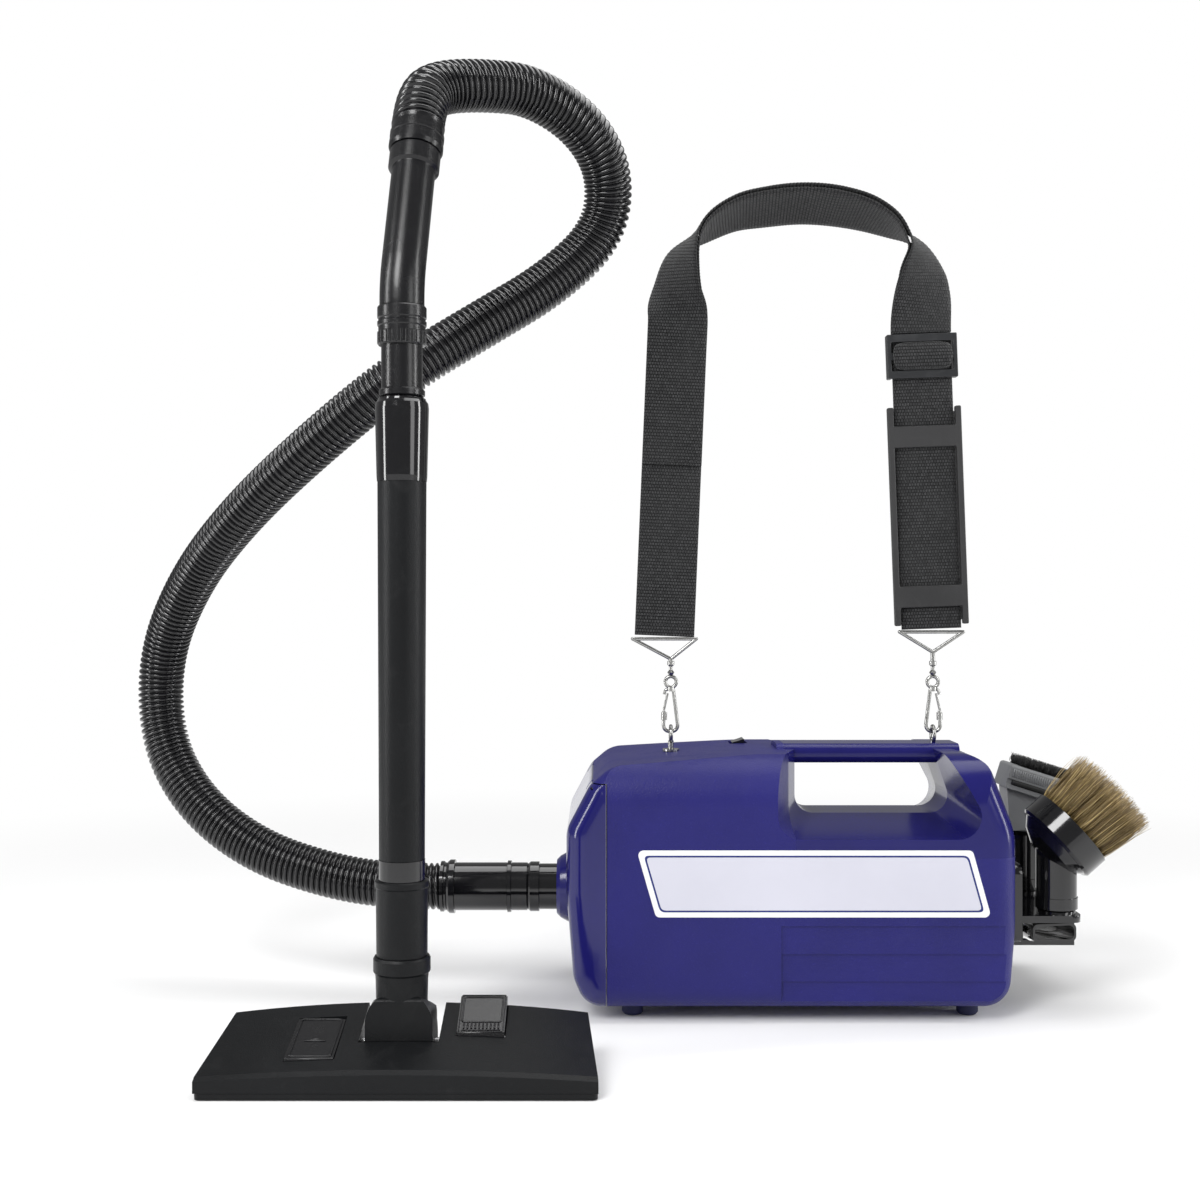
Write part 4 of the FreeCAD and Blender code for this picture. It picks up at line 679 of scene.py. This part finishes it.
def make_pad():
    """The soft back of the shoulder pad: a crowned slab with moulded channels across it."""
    low, high = (np.array(v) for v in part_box("pad_cushion"))
    middle = (low + high) / 2
    lean = math.atan2(-REAR_LEG_RUN, REAR_LEG_RISE)
    half_w, half_h, deep = 0.0290, 0.0885, 0.0060
    columns, rows = 22, 92
    rings = []
    for j in range(rows + 1):
        v = -1.0 + 2.0 * j / rows
        end = math.sqrt(max(0.0, 1.0 - max(0.0, (abs(v) - 0.93) / 0.07) ** 2))
        channel = 0.0007 * (0.5 + 0.5 * math.cos(v * half_h / 0.011 * 2 * math.pi))
        ring = []
        for side in (1, -1):
            for i in range(columns + 1):
                u = side * (-1.0 + 2.0 * i / columns)
                crown = (1.0 - abs(u) ** 6) ** 0.5
                width = half_w * (0.90 + 0.10 * end)
                depth = deep / 2 * crown * (0.35 + 0.65 * end) - (channel * crown if side > 0 else 0.0)
                x, z = u * width, v * half_h
                ring.append((middle[0] + x * math.cos(lean) - z * math.sin(lean), middle[1] + side * depth,
                             middle[2] + x * math.sin(lean) + z * math.cos(lean)))
        rings.append(ring)
    verts, faces = loft(rings)
    pad = new_piece("pad_back", verts, faces, paints["pad"], "shoulder_pad")
    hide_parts("pad_cushion")


make_pad()


# ------------------------------------------------------------------ badge
def slanted_field(inset, corner, y, steps=5):
    """The badge's four-sided outline, drawn in by the inset, with round corners."""
    left, right = -0.0570, 0.2185
    low, high = 0.083, 0.135
    corners = [(left + inset * 1.35, high - inset), (left + 0.015 + inset * 0.8, low + inset),
               (right - inset * 1.35, low + inset), (right - 0.0145 - inset * 0.8, high - inset)]
    points = []
    for k, here in enumerate(corners):
        here = np.array(here)
        before = np.array(corners[k - 1]) - here
        after = np.array(corners[(k + 1) % 4]) - here
        start = here + before / np.linalg.norm(before) * corner
        end = here + after / np.linalg.norm(after) * corner
        for t in np.linspace(0.0, 1.0, steps):
            x, z = (1 - t) ** 2 * start + 2 * t * (1 - t) * here + t**2 * end
            points.append((x, y, z))
    return points


def make_badge():
    """A printed border line and a pale field on the white badge plate, with no lettering."""
    face_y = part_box("side_badge")[0][1]
    for name, paint, outer, inner, proud in (("badge_line", "line", 0.0040, 0.0054, 0.00012),
                                             ("badge_field", "field", 0.0054, None, 0.00008)):
        y = face_y - proud
        outer_ring = slanted_field(outer, 0.004, y)
        back = [(x, face_y + 0.0002, z) for x, _, z in outer_ring]
        if inner is None:
            verts, faces = loft([back, outer_ring])
        else:
            inner_ring = slanted_field(inner, 0.0035, y)
            inner_back = [(x, face_y + 0.0002, z) for x, _, z in inner_ring]
            verts, faces = loft([back, outer_ring, inner_ring, inner_back, back], closed_ends=False)
        new_piece(name, verts, faces, paints[paint], "canister", smooth=False)


make_badge()


# ------------------------------------------------------------------ bristles
DUSTING_RADIUS, PILE_RADIUS, COMB_RADIUS = 0.00030, 0.00035, 0.00022


def strands(name, roots, tips, bows, radius, tones, paint, body):
    """Tapered bristles from roots to tips; bows push each one's middle aside."""
    roots, tips, bows = (np.asarray(a, float) for a in (roots, tips, bows))
    way = tips - roots
    way /= np.linalg.norm(way, axis=1)[:, None]
    side = np.cross(way, (0.31, 0.87, 0.38))
    side /= np.linalg.norm(side, axis=1)[:, None]
    up = np.cross(way, side)
    levels = ((0.0, 1.0), (0.35, 1.0), (0.7, 0.8), (1.0, 0.3))
    around = 3
    count = len(roots)
    verts = np.zeros((count, len(levels), around, 3))
    for j, (t, size) in enumerate(levels):
        at = roots * (1 - t) + tips * t + bows * (4 * t * (1 - t))
        for k in range(around):
            a = 2 * math.pi * k / around
            verts[:, j, k] = at + (side * math.cos(a) + up * math.sin(a)) * radius * size
    faces = []
    for s in range(count):
        base = s * len(levels) * around
        for j in range(len(levels) - 1):
            for k in range(around):
                a = base + j * around + k
                b = base + j * around + (k + 1) % around
                faces.append((a, b, b + around, a + around))
        faces.append((base + 2, base + 1, base))
        end = base + (len(levels) - 1) * around
        faces.append((end, end + 1, end + 2))
    piece = new_piece(name, verts.reshape(-1, 3), faces, paints[paint], body)
    attribute = piece.data.attributes.new("tone", "FLOAT", "POINT")
    attribute.data.foreach_set("value", np.repeat(np.asarray(tones, float), len(levels) * around))
    return piece


PEG_X = 0.2845
BRUSH_Y = 0.0395
UPHOLSTERY_Y = 0.1255
UPHOLSTERY_MID = (PEG_X + 0.0230, UPHOLSTERY_Y, 0.1650)
UPHOLSTERY_HALF = 0.045
UPHOLSTERY_TILT = math.radians(17.5)
BRUSH_AXIS = np.array((0.745, 0.0, 0.667)) / math.hypot(0.745, 0.667)
BRUSH_BACK = np.array((PEG_X + 0.0058, BRUSH_Y, 0.1382)) - BRUSH_AXIS * 0.010


def make_dusting_bristles():
    draw = random.Random(11)
    across = np.array((0.0, 1.0, 0.0))
    over = np.cross(BRUSH_AXIS, across)
    tufts, per_tuft, golden_angle = 260, 11, 2.39996
    field_radius, splay_limit, root_depth = 0.0302, 0.0412, 0.0093
    roots, tips, bows, tones = [], [], [], []
    for tuft in range(tufts):
        spot = field_radius * math.sqrt((tuft + 0.5) / tufts)
        angle = tuft * golden_angle
        middle = (over * math.cos(angle) + across * math.sin(angle)) * spot
        lean = 1.22 + draw.uniform(-0.05, 0.05)
        tuft_tone = draw.uniform(0.0, 0.30)
        for _ in range(per_tuft):
            turn = draw.uniform(0, 2 * math.pi)
            off = (over * math.cos(turn) + across * math.sin(turn)) * 0.0013 * math.sqrt(draw.random())
            stray = (over * draw.gauss(0, 1) + across * draw.gauss(0, 1)) * 0.0019
            reach = 0.0575 + draw.uniform(-0.0045, 0.0)
            root = BRUSH_BACK + BRUSH_AXIS * root_depth + middle + off
            tip = BRUSH_BACK + BRUSH_AXIS * (root_depth + reach) + middle * lean + off * 1.4 + stray
            away = tip - BRUSH_BACK
            out = away - BRUSH_AXIS * np.dot(away, BRUSH_AXIS)
            if np.linalg.norm(out) > splay_limit:
                tip = tip - out * (1 - splay_limit / np.linalg.norm(out))
            roots.append(root)
            tips.append(tip)
            bows.append((over * draw.gauss(0, 1) + across * draw.gauss(0, 1)) * 0.0012)
            bright = draw.random() < 0.2
            tones.append(draw.uniform(0.75, 1.0) if bright else tuft_tone + draw.uniform(0.0, 0.22))
    piece = strands("brush_bristles", roots, tips, bows, DUSTING_RADIUS, tones, "golden", "dusting_brush")
    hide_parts("dusting_bristles")


def make_pile():
    """The two velour pads: short curly tufts on the nozzle's top, tilted with it."""
    draw = random.Random(5)
    along = np.array((math.cos(UPHOLSTERY_TILT), 0.0, -math.sin(UPHOLSTERY_TILT)))
    up = np.array((math.sin(UPHOLSTERY_TILT), 0.0, math.cos(UPHOLSTERY_TILT)))
    side = np.array((0.0, 1.0, 0.0))
    middle = np.array(UPHOLSTERY_MID)
    roots, tips, bows, tones = [], [], [], []
    half_length, half_depth, row_offset, pad_top, per_row = 0.0370, 0.0045, 0.0115, 0.0110, 1500
    for row_y in (-row_offset, row_offset):
        for _ in range(per_row):
            root = (middle + along * draw.uniform(-half_length, half_length)
                    + side * (row_y + draw.uniform(-half_depth, half_depth)) + up * pad_top)
            tip = (root + up * draw.uniform(0.0060, 0.0095) + along * draw.gauss(0, 0.0013)
                   + side * draw.gauss(0, 0.0011))
            roots.append(root)
            tips.append(tip)
            bows.append(along * draw.gauss(0, 0.0011) + side * draw.gauss(0, 0.0011))
            tones.append(draw.random() ** 2)
    piece = strands("velour_pile", roots, tips, bows, PILE_RADIUS, tones, "pile", "upholstery_tool")
    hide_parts("upholstery_bristles")


def make_floor_bristles():
    """Two brush strips: a carrier bar each and a dense comb of short bristles."""
    draw = random.Random(3)
    low, high = (np.array(v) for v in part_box("brush_strips"))
    middle_x = (low[0] + high[0]) / 2
    half = (high[0] - low[0]) / 2
    per_row, strip_half = 800, 0.0015
    rows = (low[1] + strip_half, high[1] - strip_half)
    roots, tips, bows, tones = [], [], [], []
    for y in rows:
        for k in range(per_row):
            x = middle_x + half * (-0.995 + 1.99 * k / (per_row - 1))
            root = np.array((x, y + draw.uniform(-0.001, 0.001), 0.0052))
            roots.append(root)
            tips.append(root + np.array((draw.gauss(0, 0.0004), draw.gauss(0, 0.0004), -0.0048)))
            bows.append((draw.gauss(0, 0.0002), draw.gauss(0, 0.0002), 0.0))
            tones.append(draw.random() ** 2)
    comb = strands("floor_bristles", roots, tips, bows, COMB_RADIUS, tones, "pile", "brush_strips")
    bars = [rounded_box((2 * half, 0.0030, 0.0026), 0.0006, (middle_x, y, 0.0063)) for y in rows]
    verts, faces = merge(bars)
    new_piece("strip_carriers", verts, faces, paints["rubber"], "brush_strips")
    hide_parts("brush_strips")


make_dusting_bristles()
make_pile()
make_floor_bristles()


# ------------------------------------------------------------------ small moulded detail
def make_nozzle_ribs():
    """Fine upright ribs along the front of the upholstery nozzle, over a black rounded inlay that paints the
    shade in the groove below them.
    """
    tilt = Matrix.Rotation(UPHOLSTERY_TILT, 4, "Y")
    middle = Vector(UPHOLSTERY_MID)
    rib_count = 44
    ribs = []
    for k in range(rib_count):
        x = (UPHOLSTERY_HALF - 0.003) * (-1.0 + 2.0 * k / (rib_count - 1))
        ribs.append(rounded_box((0.0012, 0.0011, 0.0072), 0.0003, (x, -0.0191, 0.0040)))
    # Painted shade: a black inlay in the grey groove under the ribs, which is dark only in its shadow; it
    # uses the black pile paint.
    groove_shade = [rounded_box((0.0790, 0.0040, 0.0044), 0.0015, (-0.0015, -0.0178, -0.0040))]
    for name, parts, paint, slot_name in (("nozzle_ribs", ribs, "grey", "grey_plastic"),
                                          ("nozzle_groove_shade", groove_shade, "pile", "black_bristle")):
        verts, faces = merge(parts)
        verts = [tuple(tilt @ Vector(v) + middle) for v in verts]
        new_piece(name, verts, faces, paints[paint], "upholstery_tool")


make_nozzle_ribs()


# each pedal's middle x, and the (y, z) of its top's front and rear edges
PEDAL_TOPS = {"left_pedal": (-0.2810, (-0.1700, 0.0225), (-0.1170, 0.0348)),
              "right_pedal": (-0.1680, (-0.1410, 0.03145), (-0.10325, 0.04733))}


def on_pedal(pedal):
    """A function that places (x, distance up the slope, height) points on a pedal's top."""
    middle_x, front, rear = PEDAL_TOPS[pedal]
    slope = Vector((0.0, rear[0] - front[0], rear[1] - front[1]))
    length = slope.length
    slope.normalize()
    out = Vector((0.0, -slope.z, slope.y))
    start = Vector((middle_x, *front))
    return lambda point: tuple(start + Vector((point[0], 0, 0)) + slope * point[1] + out * point[2]), length


def flat_ring(half_x, low, high, corner, height, steps=5):
    """A rounded rectangle of points on a pedal's top."""
    points = []
    for quarter, (sx, v) in enumerate(((1, high), (-1, high), (-1, low), (1, low))):
        sv = 1 if v == high else -1
        for k in range(steps + 1):
            angle = math.pi / 2 * (quarter + k / steps)
            points.append((sx * (half_x - corner) + corner * math.cos(angle),
                           v - sv * corner + corner * math.sin(angle), height))
    return points


def raised_frame(half_x, low, high, corner, width, height):
    """A raised rim: up its outer side, over its top and down its inner side."""
    sizes = ((0.0, -0.0004), (0.0, height * 0.7), (0.0003, height), (width - 0.0003, height),
             (width, height * 0.7), (width, -0.0004), (0.0, -0.0004))
    rings = [flat_ring(half_x - inset, low + inset, high - inset, max(corner - inset, 0.0004), level)
             for inset, level in sizes]
    return loft(rings, closed_ends=False)


def make_pedal_marks():
    """The rims on both pedals, the floor sign on the left one, and the grip ribs on the right one."""
    place, length = on_pedal("left_pedal")
    parts = [raised_frame(0.0148, 0.0018, length - 0.0018, 0.0030, 0.0016, 0.0008)]
    sign_at = length * 0.42
    parts.append(rounded_box((0.0150, 0.0016, 0.0012), 0.0005, (0.0, sign_at, 0.0001)))
    dome = []
    for radius, level in ((0.0034, -0.0005), (0.0034, 0.0005), (0.0028, 0.0008)):
        dome.append([(radius * math.cos(a), sign_at + 0.0008 + radius * math.sin(a), level)
                     for a in np.linspace(0.0, math.pi, 14)])
    parts.append(loft(dome))
    left = [([place(v) for v in verts], faces) for verts, faces in parts]
    place, length = on_pedal("right_pedal")
    parts = [raised_frame(0.0143, 0.0105, length - 0.0022, 0.0025, 0.0012, 0.0006),
             raised_frame(0.0158, 0.0004, length - 0.0003, 0.0012, 0.0009, 0.0005),
             rounded_box((0.0270, 0.0008, 0.0011), 0.0003, (0.0, 0.0022, 0.0001))]
    grip_ribs = 10
    for k in range(grip_ribs):
        x = -0.0120 + 0.0240 * k / (grip_ribs - 1)
        parts.append(rounded_box((0.0012, 0.0052, 0.0014), 0.0004, (x, 0.0064, 0.0002)))
    right = [([place(v) for v in verts], faces) for verts, faces in parts]
    for name, placed, body in (("left_pedal_rim", left, "left_pedal"),
                               ("right_pedal_ribs", right, "right_pedal")):
        verts, faces = merge(placed)
        new_piece(name, verts, faces, paints["fine"], body)


make_pedal_marks()


def make_dust_bag():
    """The paper bag, slightly swollen, with a pleat round its middle."""
    low, high = (np.array(v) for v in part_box("dust_bag"))
    middle = (low + high) / 2
    half = (high - low) / 2 - 0.001
    rings = []
    levels, around = 26, 56
    for j in range(levels + 1):
        v = -math.pi / 2 + math.pi * j / levels
        ring = []
        for i in range(around):
            a = 2 * math.pi * i / around
            shape = [math.copysign(abs(f) ** 0.35, f) for f in (math.cos(a), math.sin(a), math.sin(v))]
            flat = max(0.02, math.cos(v)) ** 0.3
            crease = 1.0 - 0.012 * (0.5 + 0.5 * math.sin(9 * v)) - 0.008 * math.sin(5 * a + 3 * v)
            ring.append((middle[0] + half[0] * shape[2], middle[1] + half[1] * shape[0] * flat * crease,
                         middle[2] + half[2] * shape[1] * flat * crease))
        rings.append(ring)
    verts, faces = loft(rings)
    bag = new_piece("paper_bag", verts, faces, paints["paper"], "canister")
    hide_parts("dust_bag")


make_dust_bag()
